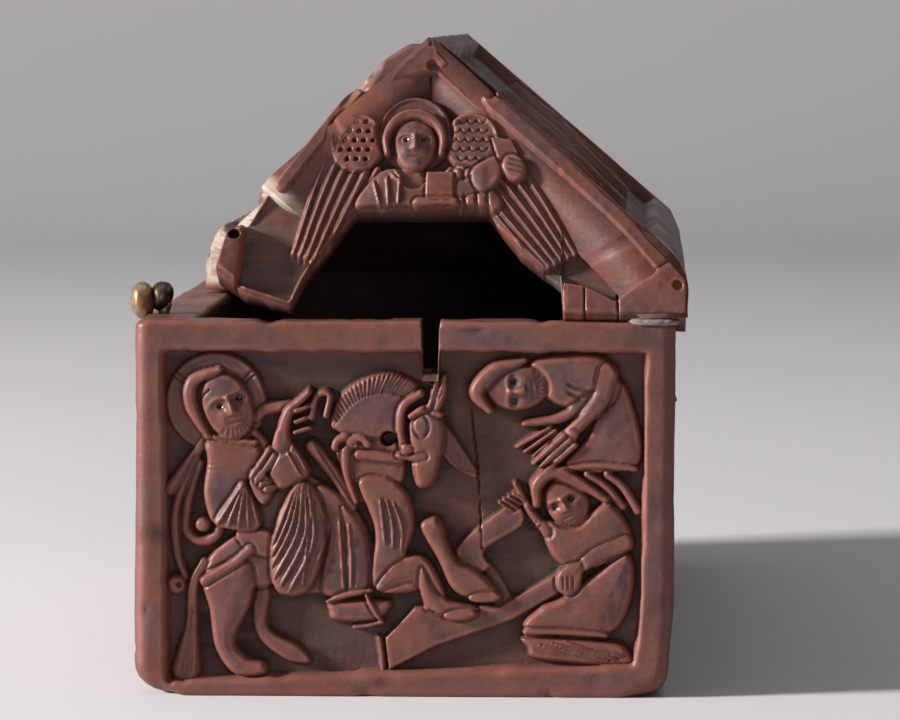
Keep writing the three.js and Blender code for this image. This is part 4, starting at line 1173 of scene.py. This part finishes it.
# Painted shade: the hollow mask darkens the sunk fields and the inside of the chest, more towards the floor,
# with some dust mixed in by the finish.
pocket_x, pocket_y = HALF_WIDTH - WALL[0] + 0.4, HALF_LENGTH - WALL[1] + 0.4
inside = (np.abs(x) < pocket_x) & (np.abs(y) < pocket_y) & (z > FLOOR - 1)
hollow = np.maximum(sunk, np.where(inside, 0.55 + 0.4 * ease(RIM - z, 5, 30), 0))
stain = np.exp(-(((x - STAIN[0]) / 1.7) ** 2 + ((z - STAIN[1]) / 1.5) ** 2)) * (y < 2 - HALF_LENGTH)
# The worn mask mixes real wear on edges and corners with the painted sheen on the rim top.
worn = np.clip(np.maximum(rub, upright) + rim_wear_and_sheen + foot_edge, 0, 1)
chest = wrap_mesh("chest", x, y, z, {"hollow": hollow, "rub": worn, "raw": 0 * x, "shade_and_stain": 0.75 * stain})
finish_piece(chest, box_wood, "casket_box")

# %% [markdown]
# ## The long sides and the back of the chest
# These faces carry rows of standing saints. Each saint is one figure drawn by proportion from its own
# height, and a loop sets them side by side, turning every second one the other way. They are plainer than
# the end that faces us, as the secondary sides of such a box are.

# %% A standing saint
def saint(field, x, y, tall, way, seed):
    """A robed figure with a nimbus, drawn in fractions of its height; way is 1 or -1 for its turn."""
    at = lambda pairs: [(x + a * tall * way, y + b * tall) for a, b in pairs]
    lean = 0.01 * np.random.default_rng(seed).uniform(-1, 1)
    head = at([(0.01 + lean, 0.865)])[0]
    field.oval(*head, 0.115 * tall, 0.115 * tall, 0, 0.7, edge=0.35, crown=0.05)
    field.ridge(arc(*head, 0.105 * tall, 0, 350, 24), 0.5, 0.15)
    field.form(at([(-0.15, 0.0), (0.16, 0.0), (0.17, 0.2), (0.14, 0.45), (0.13, 0.66), (0.07, 0.77),
                   (-0.07, 0.77), (-0.14, 0.66), (-0.16, 0.4), (-0.17, 0.15)]), 1.5, edge=0.8, crown=0.35)
    for fold in np.linspace(-0.11, 0.1, 6):
        field.cut(at([(fold * 0.6 + 0.02, 0.42), (fold + 0.01, 0.22), (fold * 1.15, 0.02)]), 0.45, 0.35)
    for rise in (0.0, 0.06, 0.12):
        drape = [(-0.13, 0.6 - rise), (-0.02, 0.5 - rise), (0.1, 0.47 - rise), (0.14, 0.5 - rise)]
        field.cut(at(drape), 0.4, 0.3)
    field.limb(at([(-0.12, 0.68), (-0.14, 0.55), (-0.05, 0.46), (0.03, 0.47)]), [2.2, 2.3, 1.9, 1.4],
               [1.8, 2.0])
    field.form(at([(0.02, 0.45), (0.1, 0.47), (0.09, 0.6), (0.01, 0.58)]), 2.0, edge=0.25, crown=0.05,
               smooth=False)
    field.limb(at([(0.12, 0.66), (0.15, 0.55), (0.08, 0.52)]), [2.0, 1.9, 1.3], [1.9])
    for foot in (-0.06, 0.06):
        field.oval(*at([(foot, 0.0)])[0], 0.04 * tall, 0.02 * tall, 0, 1.2, edge=0.4)
    face(field, *head, 0.058 * tall, 0.078 * tall, 4 * way, 0.3 * way, 1.5, pupil=0.12, beard=seed % 2 == 0)
    field.limb([(head[0] + 0.064 * tall * math.sin(a), head[1] + 0.082 * tall * math.cos(a))
                for a in np.radians(np.linspace(-115, 115, 9))], [0.9, 1.2, 1.3, 1.2, 0.9], [1.9])


def field_grid(half, foot, top, columns, rows):
    s, t = np.meshgrid(np.linspace(-1, 1, columns), np.linspace(0, 1, rows))
    return half * s, foot + (top - foot) * t


def make_side(name, half, saints, tall, place, columns, rows, seed):
    across, up = field_grid(half + 0.4, BORDER - 0.4, FIELD_TOP + 0.4, columns, rows)
    field = Field(across, up, 0.1 * wander(across, up, 8, seed) + 0.05 * wander(across, up, 2, seed + 1))
    for number, middle in enumerate(saints):
        saint(field, middle, BORDER + 0.7, tall, 1 if number % 2 else -1, seed + number)
    field.height += 0.04 * wander(across, up, 1.2, seed + 9)
    piece = slab(name, field, place, 2 * half / columns)
    return finish_piece(piece, box_wood, "casket_box")


def side_place(way):
    """The long side at X = way times the half width, read left to right by someone facing it."""
    def place(across, up, height):
        out = true_width(way * HALF_WIDTH, up) - way * (SIDE_DEPTH - height)
        return np.stack([out + 0 * across, way * across, up + 0 * across], axis=-1)
    return place


def back_place(across, up, height):
    return np.stack([-across, HALF_LENGTH - END_DEPTH + height, up + 0 * across], axis=-1)


SIDE_SAINTS, SIDE_TALL = np.arange(-52, 53, 26), 38
BACK_SAINTS, BACK_TALL, BACK_HALF = (-19, 0, 19), 37, 31
for side_name, way in (("left_relief", -1), ("right_relief", 1)):
    make_side(side_name, HALF_LENGTH - BORDER, SIDE_SAINTS, SIDE_TALL, side_place(way), 300, 128, 60 + way)
make_side("back_relief", BACK_HALF, BACK_SAINTS, BACK_TALL, back_place, 190, 128, 80)

# %% [markdown]
# ## The lid: four plates that lean together
# The lid was hollowed from one block, but its outer faces are four plates: two long slopes and two leaning
# ends. Each is a carved field with its own outline. That makes the breaks easy, because a broken edge is
# only a lower edge that is a different height at each place along the lid.

# %% The end of the lid: outline and ground
LEAN_ANGLE = math.atan2(LEAN, RISE)


def lid_end_place(way, ground_depth=END_DEPTH):
    """A leaning end: up the end it moves back with the roof, and height stands off along its normal."""
    def place(across, up, height):
        off = height - ground_depth
        y = HALF_LENGTH - LEAN * up / RISE + off * math.cos(LEAN_ANGLE)
        return np.stack([-way * across, way * y, SEAT + up + off * math.sin(LEAN_ANGLE)], axis=-1)
    return place


END_FOOT = np.array([(-24.8, 6.3), (-21, 3.6), (-15, 2), (-12.5, 6.8), (-7, 14.2), (10.6, 14.4), (15, 9),
                     (20.2, 5.2), (20.6, 0.4), (36.5, 0.4)])
END_HEAD = np.array([(-24.8, 7.3), (-23.6, 11.2), (-20.8, 13), (-17.5, 18.3), (-8, 30), (-3.5, 34.3), (0, 36),
                     (4, 36.2), (12, 29.5), (28, 14.8), (36.5, 5.6)])


def end_grid(columns, rows):
    """A grid between the broken foot and the broken head of the end, both a little ragged."""
    x = np.linspace(END_FOOT[0, 0], END_FOOT[-1, 0], columns)
    foot = np.interp(x, *END_FOOT.T) + 0.12 * wander(x, 0 * x, 1.3, 91)
    head = np.interp(x, *END_HEAD.T) + 0.2 * wander(x, 0 * x, 1.9, 92)
    share = np.linspace(0, 1, rows)[:, None]
    return np.broadcast_to(x, (rows, columns)), foot + (head - foot) * share


across, up = end_grid(392, 190)
ground = 0.14 * wander(across, up, 6, 93) + 0.08 * wander(across, up, 1.8, 94)
lid_end = Field(across, up, ground)
print("lid end", across.shape)

# %% The rails and breaks of the lid's end
def carve_end_rails(field):
    """Two sloping rails, the worn ridge with its open slot, the foot rail and the broken ear."""
    field.limb([(-7, 29.5), (-16.5, 17.3)], [2.4], [3.0], flat=0.6)
    field.limb([(10.8, 28.4), (27.2, 13.9), (35, 5.4)], [3.2], [3.0], flat=0.6)
    field.form([(-6.5, 31), (-3, 34.8), (0.5, 37), (4.2, 36.8), (6, 33.3), (-1, 31), (-4.6, 28.8)], 2.3,
               edge=1.0, crown=0.4)
    field.limb([(4, 36), (12, 29.3)], [1.1], [3.1])
    field.limb([(3, 33), (9.6, 27.3)], [0.9], [1.9])
    field.cut([(4.5, 34.9), (10.6, 29.3)], 1.9, 3.4, tapered=False)
    field.form([(20.4, -1), (20.2, 5), (23.5, 4.5), (27.3, 2.6), (30.5, 5), (34.5, 7.4), (37.5, 6),
                (37.5, -1)], 3.0, edge=0.7, crown=0.2, smooth=False)
    for crack_x in (23.3, 27.6):
        field.crack([(crack_x, 4), (crack_x + 0.1, 0.2)], 0.2, 1.2)
    field.drill(35.4, 4.4, 0.7, 0.7)
    field.limb([(-7, 13.8), (-12.6, 6.5), (-14.6, 2.2)], [1.5, 1.9], [1.7, 2.0])
    field.limb([(-14.8, 2), (-24.6, 4.9)], [1.6], [1.6, 2.4])
    field.form([(-25.5, 4), (-25.5, 11), (-21.5, 13), (-22, 5)], 2.9, edge=1.0, crown=0.5)
    # The ear's hole is painted dark as shade.
    field.drill(-22.6, 10.9, 0.85, 2.2, shade_and_stain=0.9)
    field.limb([(-21, 13.5), (-18.2, 17.4)], [1.2], [1.2, 1.6])


carve_end_rails(lid_end)

# %% The angel's wings
ANGEL_MIDDLE = 0.8
ANGEL_FACE = 22.9                    # height of the middle of the face
SHOULDER_REACH = 7.6                 # from the angel's middle to the middle of a wing's shoulder


def wing(field, side, tip_reach, pitted, feathers=6):
    """A wing: feathers one step in and down from each other, under a round shoulder with a raised rim.
    The shoulder is drilled into a net of pits, or cut with rows of small curved scales."""
    for feather in range(feathers):
        root = 10.3 - 1.1 * feather
        tip = tip_reach - 0.85 * feather
        drop = 0.9 * feather
        places = ((root, 24 - drop), ((root + tip) / 2, 17.5 - drop), (tip, 9 - 0.4 * feather))
        path = [(ANGEL_MIDDLE + side * reach, level) for reach, level in places]
        field.limb(path, [1.3, 1.6, 1.2], [1.9, 1.5], flat=0.6)
        field.ridge(path, 0.4, 0.3)
    x = ANGEL_MIDDLE + side * SHOULDER_REACH
    field.oval(x, 23.2, 3.8, 3.8, 0, 2.1, edge=0.5, crown=0.25)
    field.ridge(arc(x, 23.2, 3.3, 90 - 110 * side, 90 + 60 * side, 14), 0.6, 0.4)
    pitch = 1.2
    for row in range(-2, 3):
        half = math.sqrt(2.7 ** 2 - (row * pitch) ** 2) if abs(row * pitch) < 2.7 else 0.0
        for place in np.arange(-half + 0.3 * (row % 2), half + 0.1, pitch):
            if pitted:
                # Each pit is painted dark as shade.
                field.drill(x + place, 23.2 + row * pitch, 0.34, 0.7, shade_and_stain=0.6)
            else:
                field.cut(arc(x + place, 23.6 + row * pitch, 0.6, 195, 345, 7), 0.32, 0.45, tapered=False)


wing(lid_end, -1, 15.5, pitted=True)
wing(lid_end, 1, 21, pitted=False)

# %% The angel's robe, hands and head
def carve_robe(field):
    field.form([(-6, 14), (-4, 18.8), (-1.5, 19.7), (2, 18.6), (7, 19.9), (10.6, 18), (11.2, 14)], 2.1,
               edge=0.7, crown=0.35)
    for fold_x in (6.5, 8.1, 9.6):
        field.limb([(fold_x, 19), (fold_x + 0.3, 14.4)], [1.3], [2.5])
    fan(field, [(-4.5, 18), (-1, 18.8)], [(-3.6, 14.6), (-1.2, 14.8)], (0, 0), 3)
    for band in (3.2, 3.8):
        field.ridge(arc(ANGEL_MIDDLE, 21.2, band, 215, 325, 8), 0.4, 0.35)
    field.limb([(ANGEL_MIDDLE, 21), (ANGEL_MIDDLE, 18.8)], [3.0, 3.4], [2.0])


def carve_hands(field):
    field.limb([(7, 17), (10, 18), (13.4, 20.4)], [2.1, 1.9, 1.3], [2.5, 2.7])
    field.form([(8.5, 19.4), (12.4, 21.3), (12, 18), (9.5, 16.6)], 2.6, edge=0.6, crown=0.2)
    field.form([(11, 23.5), (13.5, 23.5), (14.5, 21.5), (12, 20.5)], 2.4, edge=0.3, crown=0.05, smooth=False)
    field.oval(14, 19.6, 1.5, 1.8, 25, 2.8, edge=0.6, crown=0.25)
    for gap in range(3):
        field.cut([(13.3, 20.7 - 0.7 * gap), (15.3, 20.2 - 0.7 * gap)], 0.26, 0.35)
    field.form([(2.5, 15.8), (6, 15.8), (6, 19), (2.5, 19)], 2.7, edge=0.25, crown=0.05, smooth=False)
    field.limb([(1.5, 15), (6, 15)], [1.6], [2.9])
    for gap in (14.7, 15.3):
        field.cut([(3, gap), (6, gap)], 0.22, 0.3)


def carve_angel_head(field):
    face(field, ANGEL_MIDDLE, ANGEL_FACE, 2.75, 3.6, 2, 0.1, 2.1, pupil=0.13)
    field.limb(arc(ANGEL_MIDDLE, ANGEL_FACE, 3.8, 200, -20, 9), [0.9, 1.5, 1.5, 0.9], [2.7, 2.9, 2.7])
    field.cut(arc(ANGEL_MIDDLE, ANGEL_FACE, 3.0, 200, -20, 9), 0.3, 0.35)


halo_up = ANGEL_FACE + 1.5
lid_end.oval(ANGEL_MIDDLE, halo_up, 4.9, 4.9, 0, 1.1, edge=0.4, crown=0.1)
lid_end.ridge(arc(ANGEL_MIDDLE, halo_up, 4.5, -20, 200, 20), 0.5, 0.35)
carve_robe(lid_end)
carve_hands(lid_end)
carve_angel_head(lid_end)

# %% Breaks on the lid's end
def age_lid_end(field):
    """Raw wood where it broke: over the ridge's left side and along the foot of the lost corner."""
    x, y = field.across, field.up
    above = y - np.interp(x, [-9, -3], [27.5, 33.2])
    chipped = ease(-x, 3.2, 5.2) * ease(x, -9.2, -7.4) * ease(above, -1.2, 0.6)
    field.height -= chipped * (0.9 + 0.6 * wander(x, y, 1.3, 101))
    lost = ease(-x, 19.3, 21.5) * ease(y, 11.6, 13.4)
    field.raw = np.clip(0.35 * chipped + 0.5 * lost, 0, 1)
    foot, head = y[0], y[-1]
    rolled = np.minimum(y - foot, (head - y) * 0.9)
    field.height -= 1.0 * (1 - ease(rolled, 0, 1.0)) ** 2 * ease(field.height, 0.2, 1.6)
    field.height += 0.05 * wander(x, y, 1.0, 102) * ease(field.height, 0.3, 1.5)


age_lid_end(lid_end)
front_gable = slab("lid_front_end", lid_end, lid_end_place(-1), 0.16, back=3.0)
finish_piece(front_gable, lid_wood, "casket_lid")

# %% The slopes of the lid
SLOPE_DEPTH = 1.8
SECTION = np.array([(LID_HALF_WIDTH, 0.0), (LID_HALF_WIDTH, EAVE),
                    (LID_HALF_WIDTH - SHOULDER[0], SHOULDER[1]), (0.0, RISE)])
SECTION_RUN = np.concatenate([[0], np.cumsum(np.linalg.norm(np.diff(SECTION, axis=0), axis=1))])
SLOPE_LENGTH = SECTION_RUN[-1]
BACK_LINE = np.array([(LID_HALF_WIDTH - LID_WALL, 0.0), (0.0, RISE - 1.45 * LID_WALL)])


def section_at(run):
    """The roof's outline from the foot of the eave to the ridge: its place and its outward direction,
    both averaged over a millimetre so that the bends are worn round."""
    nearby = [np.clip(run + shift, 0, SLOPE_LENGTH) for shift in (-1.0, -0.5, 0.0, 0.5, 1.0)]
    out = np.mean([np.interp(place, SECTION_RUN, SECTION[:, 0]) for place in nearby], axis=0)
    up = np.mean([np.interp(place, SECTION_RUN, SECTION[:, 1]) for place in nearby], axis=0)
    ahead, behind = np.minimum(run + 1.2, SLOPE_LENGTH), np.maximum(run - 1.2, 0)
    d_out = np.interp(ahead, SECTION_RUN, SECTION[:, 0]) - np.interp(behind, SECTION_RUN, SECTION[:, 0])
    d_up = np.interp(ahead, SECTION_RUN, SECTION[:, 1]) - np.interp(behind, SECTION_RUN, SECTION[:, 1])
    size = np.maximum(np.hypot(d_out, d_up), 1e-6)
    return out, up, d_up / size, -d_out / size


def slope_place(way):
    """A long slope: across runs along Y, up runs along the section, and height stands off outwards."""
    def place(across, run, height):
        out, up, normal_out, normal_up = section_at(run)
        behind = np.asarray(height) < -1
        share = np.clip(run / SLOPE_LENGTH, 0, 1)
        off = np.where(behind, 0, height - SLOPE_DEPTH)
        out, up = out + off * normal_out, up + off * normal_up
        out = np.where(behind, BACK_LINE[0, 0] * (1 - share), out)
        up = np.where(behind, BACK_LINE[1, 1] * share, up)
        return np.stack([LID_MIDDLE + way * out, way * across, SEAT + up], axis=-1)
    return place


def slope_grid(columns, rows, foot_line):
    """Rows from the lower edge to the ridge, and columns that lean in with the hips."""
    share = np.linspace(-1, 1, columns)[None, :]
    foot = np.interp(share, *foot_line.T)
    run = foot + (SLOPE_LENGTH - foot) * np.linspace(0, 1, rows)[:, None]
    half = HALF_LENGTH - LEAN * section_at(run)[1] / RISE
    return share * half, run


def leaf_scroll(field, low, high, base, swing, bends):
    """A stem that waves between leaves: the stem is a sine, and each bend holds a three-lobed leaf."""
    along = np.linspace(low, high, 12 * bends)
    turn = (along - low) / (high - low) * bends * np.pi
    field.limb(np.stack([along, base + swing * np.sin(turn)], axis=1), [1.6], [1.5])
    pitch = (high - low) / bends
    for bend in range(bends):
        side = -1 if bend % 2 == 0 else 1
        middle = low + (bend + 0.5) * pitch
        foot = base - side * swing * 0.9
        for lobe in (-1, 0, 1):
            tip = (middle + 0.3 * pitch * lobe, base + side * swing * (0.75 - 0.45 * abs(lobe)))
            bend_point = (middle + 0.14 * pitch * lobe, (foot + tip[1]) / 2 + 0.6 * side)
            field.limb([(middle, foot), bend_point, tip], [1.0, 3.2, 3.6, 1.2], [1.4, 1.9, 1.5])
            field.cut([(middle, foot + side), bend_point, tip], 0.4, 0.35)
        field.drill(middle + 0.36 * pitch, base - side * swing * 0.1, 0.5, 0.5)


def make_slope(name, way, foot_line, seed):
    across, run = slope_grid(330, 116, foot_line)
    field = Field(across, run, 0.1 * wander(across, run, 6, seed) + 0.05 * wander(across, run, 2, seed + 1))
    leaf_scroll(field, -60, 60, 28.5, 11.5, 5)
    half = HALF_LENGTH - LEAN * section_at(run)[1] / RISE
    rail = np.minimum(np.minimum(half - np.abs(across), SLOPE_LENGTH - run) - 3.0, run - 12.0)
    rail = rail + 0.25 * wander(across, run, 3, seed + 2)
    field.height = np.maximum(field.height * ease(rail, 0.2, 0.6), SLOPE_DEPTH * (1 - ease(rail, -0.3, 0.4)))
    below = run - run[0]
    broken = np.broadcast_to(ease(run[0], 0.6, 2.0), run.shape)
    field.height -= broken * (1 - ease(below, 0, 1.6)) * (0.8 + 0.7 * wander(across, run, 1.2, seed + 3))
    field.raw = broken * (1 - ease(below, 0.4, 2.6))
    dents = 0.4 * ease(wander(across, run, 2.6, seed + 5), 0.6, 0.9)
    field.height += 0.12 * wander(across, run, 4, seed + 4) - dents
    piece = slab(name, field, slope_place(way), 0.45, back=LID_WALL, floor_level=0.5)
    return finish_piece(piece, lid_wood, "casket_lid")


WHOLE_EAVE = np.array([(-1.0, 0.0), (1.0, 0.0)])
BROKEN_EAVE = np.array([(-1.0, 0.0), (0.235, 0.0), (0.25, 2.5), (0.3, 6.5), (0.45, 9.5), (0.6, 12.0),
                        (0.72, 13.2), (0.84, 15.0), (0.92, 20.5), (1.0, 22.5)])
make_slope("lid_left_slope", -1, BROKEN_EAVE, 110)
make_slope("lid_right_slope", 1, WHOLE_EAVE, 120)

# %% The back end of the lid
def make_back_end():
    columns, rows = 180, 96
    x = np.linspace(-LID_HALF_WIDTH, LID_HALF_WIDTH, columns)
    head = np.interp(np.abs(x), SECTION[::-1, 0], SECTION[::-1, 1])
    shoulder = np.interp(np.abs(x), [SECTION[2, 0], LID_HALF_WIDTH], [SHOULDER[1], EAVE])
    head = np.where(np.abs(x) > SECTION[2, 0], shoulder, head)
    up = head * np.linspace(0, 1, rows)[:, None]
    across = np.broadcast_to(x, up.shape)
    field = Field(across, up, 0.1 * wander(across, up, 6, 131))
    field.oval(0, 20, 7.4, 7.4, 0, 1.0, edge=0.5, crown=0.1)
    field.ridge(arc(0, 20, 6.9, 0, 350, 30), 0.6, 0.25)
    bust = [(10.5, 4.2), (9.4, 9), (7.6, 12.8), (2.8, 14.8)]
    mirrored = [(-out, level) for out, level in bust[::-1]]
    field.form(mirrored[-1:] + bust + mirrored[:-1], 1.9, edge=0.8, crown=0.5)
    for fold in np.linspace(-0.9, 0.9, 7):
        field.cut([(4.5 * fold, 14.2), (6.2 * fold, 10), (8.6 * fold, 4.6)], 0.5, 0.4)
    face(field, 0, 19.3, 3.4, 4.6, 0, 0.1, 1.9)
    field.limb([(-3.6, 15.8), (-4.0, 19), (-3.2, 22.8), (0, 24.8), (3.2, 22.8), (4.0, 19), (3.6, 15.8)],
               [1.2, 1.7, 1.9, 2.0, 1.9, 1.7, 1.2], [2.4, 2.6, 2.4])
    rail = np.minimum(up - 4.0, (head - up) * 0.72 - 3.2) + 0.25 * wander(across, up, 3, 132)
    field.height = np.maximum(field.height * ease(rail, 0.2, 0.6), END_DEPTH * (1 - ease(rail, -0.3, 0.4)))
    field.height += 0.1 * wander(across, up, 4, 133)
    place = lid_end_place(1)
    shifted = lambda a, b, h: place(a - LID_MIDDLE, b, h)
    piece = slab("lid_back_end", field, shifted, 0.4, back=3.0)
    return finish_piece(piece, lid_wood, "casket_lid")


make_back_end()

# %% [markdown]
# ## The metal remnant and the wad
# On the left rim stand the last bits of a copper-alloy fitting: two swollen knobs on a short shank. A knob is
# a profile turned round its own axis. Under the lid's front right corner is a thin grey wad that keeps the
# lid from rocking.

# %% Copper alloy and packing materials
def make_copper():
    material, nodes, shader = new_material("Worn copper alloy", {})
    coords = nodes.add("TexCoord", (-1100, 0)).outputs["Object"]
    blotch = nodes.noise(coords, (1, 1, 1), 420, 5, 0.6, place=(-800, 200))
    fine = nodes.noise(coords, (1, 1, 1), 2600, 4, 0.6, place=(-800, -100))
    dark = nodes.add("Attribute", (-1000, -400), attribute_name="dark")
    green = nodes.add("Attribute", (-1000, -600), attribute_name="green")
    patch = nodes.spread(blotch, 0.45, 0.62, place=(-550, 200))
    metal = nodes.mix(patch, (0.62, 0.42, 0.24, 1), (0.3, 0.17, 0.09, 1), (-350, 200))
    # Painted shade: the dark mask blackens the metal on the right knob, the shank and the undersides.
    darkened = nodes.mix(dark.outputs["Fac"], metal, (0.035, 0.025, 0.022, 1), (-150, 150))
    crust_spot = nodes.spread(fine, 0.35, 0.6, place=(-550, -300))
    crust = nodes.times(green.outputs["Fac"], crust_spot, (-350, -350))
    green_mix = nodes.mix(crust, darkened, (0.07, 0.2, 0.16, 1), (50, 100))
    nodes.join(green_mix, shader.inputs["Base Color"])
    bare = nodes.sums("SUBTRACT", 1.0, crust, (-150, -200))
    nodes.join(nodes.times(bare, 0.9, (50, -200)), shader.inputs["Metallic"])
    nodes.join(nodes.spread(blotch, 0.3, 0.7, 0.28, 0.5, place=(-150, -400)), shader.inputs["Roughness"])
    nodes.bump(fine, shader, 0.1, 0.4, (50, -500))
    return material


def make_wad():
    material, nodes, shader = new_material("Grey packing", {"Roughness": 0.95})
    coords = nodes.add("TexCoord", (-900, 0)).outputs["Object"]
    fine = nodes.noise(coords, (1, 1, 2.5), 1800, 6, 0.7, place=(-600, 0))
    speckle = nodes.spread(fine, 0.35, 0.65, place=(-400, 0))
    shade = nodes.mix(speckle, (0.13, 0.115, 0.11, 1), (0.3, 0.27, 0.25, 1), (-200, 0))
    nodes.join(shade, shader.inputs["Base Color"])
    nodes.bump(fine, shader, 0.15, place=(-100, -300))
    return material

# %% The fitting
def turned(centre, axis_x, axis_z, profile, around=40):
    """Rings of a turned form: radius against distance along an axis that lies in the X and Z plane."""
    along, radius = np.asarray(profile, dtype=float).T
    angle = np.linspace(0, 2 * np.pi, around, endpoint=False)[None, :]
    size = math.hypot(axis_x, axis_z)
    a, c = axis_x / size, axis_z / size
    up, side = radius[:, None] * np.cos(angle), radius[:, None] * np.sin(angle)
    x = centre[0] + along[:, None] * a - up * c
    y = centre[1] + side
    z = centre[2] + along[:, None] * c + up * a
    return x, y, z


def knob_profile(reach, radius, flatness=0.8):
    """Half an ellipse of radius against length, with a small flat at each end."""
    angle = np.linspace(0.12, np.pi - 0.12, 18)
    return np.stack([-reach * np.cos(angle), radius * np.sin(angle) ** flatness], axis=1)


def make_fitting():
    copper = make_copper()
    knob_y = -61.6
    shank = [(-4.2, 0.5), (-1.2, 0.62), (0.2, 0.75), (1.6, 1.0)]
    left, right, foot = (-35.7, knob_y, 51), (-33.2, knob_y + 0.3, 51.5), (-32.9, knob_y, 49.2)
    # The fifth number is painted shade: little on the lit left knob, much on the right knob behind it and on
    # the shank.
    parts = (("fitting_left_knob", left, (1, 0.1), knob_profile(1.6, 2.5), 0.05, 0.25),
             ("fitting_right_knob", right, (1, -0.25), knob_profile(1.5, 2.0), 0.8, 0.2),
             ("fitting_shank", foot, (0.15, 1), shank, 0.55, 0.9))
    for name, centre, axis, profile, dark, green in parts:
        x, y, z = turned(centre, *axis, profile)
        lumps = 1 + 0.05 * wander(x * 3, y * 3 + z * 2, 2.0, 141)
        x = centre[0] + (x - centre[0]) * lumps
        y = centre[1] + (y - centre[1]) * lumps
        z = centre[2] + (z - centre[2]) * lumps
        # Undersides get more painted shade; the green patina also gathers low down.
        low = ease(centre[2] - z, 0.2, 1.8)
        masks = {"dark": np.clip(dark + 0.4 * low, 0, 1), "green": np.clip(green * (0.3 + low), 0, 1)}
        finish_piece(wrap_mesh(name, x, y, z, masks), copper, "hinge_staple")


make_fitting()

# %% The wad
WAD_MIDDLE = (32.3, -70.4, 49.15)
WAD_HALF = (3.6, 6.1, 0.62)          # half its size along each axis


def make_packing():
    """A squashed pillow: rings of a superellipse, thin at the edges, with ragged noise."""
    angle = np.linspace(0, 2 * np.pi, 96, endpoint=False)[None, :]
    lift = np.radians(np.linspace(-84, 84, 15))[:, None]
    shape = lambda value, power: np.sign(value) * np.abs(value) ** power
    reach = shape(np.cos(lift), 0.45)
    x = WAD_MIDDLE[0] + WAD_HALF[0] * reach * shape(np.cos(angle), 0.6)
    y = WAD_MIDDLE[1] + WAD_HALF[1] * reach * shape(np.sin(angle), 0.5)
    z = WAD_MIDDLE[2] + WAD_HALF[2] * shape(np.sin(lift), 0.8) + 0 * angle
    x = x + 0.25 * wander(y * 2, z * 9, 1.7, 151) * reach
    y = y + 0.25 * wander(x * 2, z * 9, 1.3, 152) * reach
    piece = wrap_mesh("packing_wad", x, y, z, {})
    return finish_piece(piece, make_wad(), "corner_packing")


make_packing()

# %% [markdown]
# ## Floor, light and camera
# A pale paper sweep runs from the floor up behind the casket. One small lamp stands low at the left front
# and rakes across the relief, so every edge turned to it is bright and every hollow is dark. A small weak
# one near the camera reaches through the arch to the inner back wall. A wide one overhead lights the floor.

# %% The paper sweep
def make_sweep():
    """A sheet that lies flat, then curves up: y and z run along a line, a quarter circle and a line."""
    width = np.linspace(-2.4, 2.4, 25)
    flat = np.linspace(-1.6, 1.1, 28)
    bend = np.radians(np.linspace(4, 90, 20))
    radius = 0.9
    y = np.concatenate([flat, flat[-1] + radius * np.sin(bend), np.full(8, flat[-1] + radius)])
    z = np.concatenate([0 * flat, radius * (1 - np.cos(bend)), radius + np.linspace(0.1, 1.6, 8)])
    across, along = np.meshgrid(width, y)
    points = np.stack([across, along, np.broadcast_to(z[:, None], across.shape)], axis=-1).reshape(-1, 3)
    _, quads = grid_quads(*across.shape)
    return put_mesh("paper_sweep", points / MM, quads)


def make_paper():
    looks = {"Base Color": (0.72, 0.70, 0.72, 1), "Roughness": 0.9, "Specular IOR Level": 0.15}
    return new_material("Pale paper", looks)[0]


sweep = make_sweep()
sweep.data.materials.append(make_paper())

# %% Lamps
def make_lamp(name, place, target, width, height, power, colour=(1, 1, 1)):
    light = bpy.data.lights.new(name, "AREA")
    light.shape = "RECTANGLE"
    light.size, light.size_y = width, height
    light.energy = power
    light.color = colour
    lamp = bpy.data.objects.new(name, light)
    lamp.location = place
    from_target = Vector(place) - Vector(target)
    lamp.rotation_euler = from_target.to_track_quat("Z", "Y").to_euler()
    bpy.context.collection.objects.link(lamp)
    return lamp


make_lamp("key", (-1.3, -0.42, 0.5), (0, -0.05, 0.04), 0.24, 0.24, 44, (1, 0.985, 0.97))
make_lamp("fill", (0.33, -1.9, 0.25), (0, 0, 0.06), 0.4, 0.4, 3.5, (1, 0.98, 0.96))
make_lamp("sky", (0, -0.2, 1.6), (0, -0.1, 0), 1.8, 1.8, 6)

world = bpy.data.worlds.new("Studio")
world.use_nodes = True
world.node_tree.nodes["Background"].inputs["Color"].default_value = (0.5, 0.52, 0.56, 1)
world.node_tree.nodes["Background"].inputs["Strength"].default_value = 0.1
bpy.context.scene.world = world

# %% The camera
camera_data = bpy.data.cameras.new("camera")
camera_data.lens = 183.3
camera_data.sensor_width = 36
camera_data.shift_y = 0.0017
camera = bpy.data.objects.new("camera", camera_data)
camera.location = (0.031, -0.669, 0.0889)
looking = Vector((0.0059, -0.076, 0.044)) - camera.location
camera.rotation_euler = looking.to_track_quat("-Z", "Y").to_euler()
bpy.context.collection.objects.link(camera)
bpy.context.scene.camera = camera
bpy.context.scene.view_settings.view_transform = "Standard"
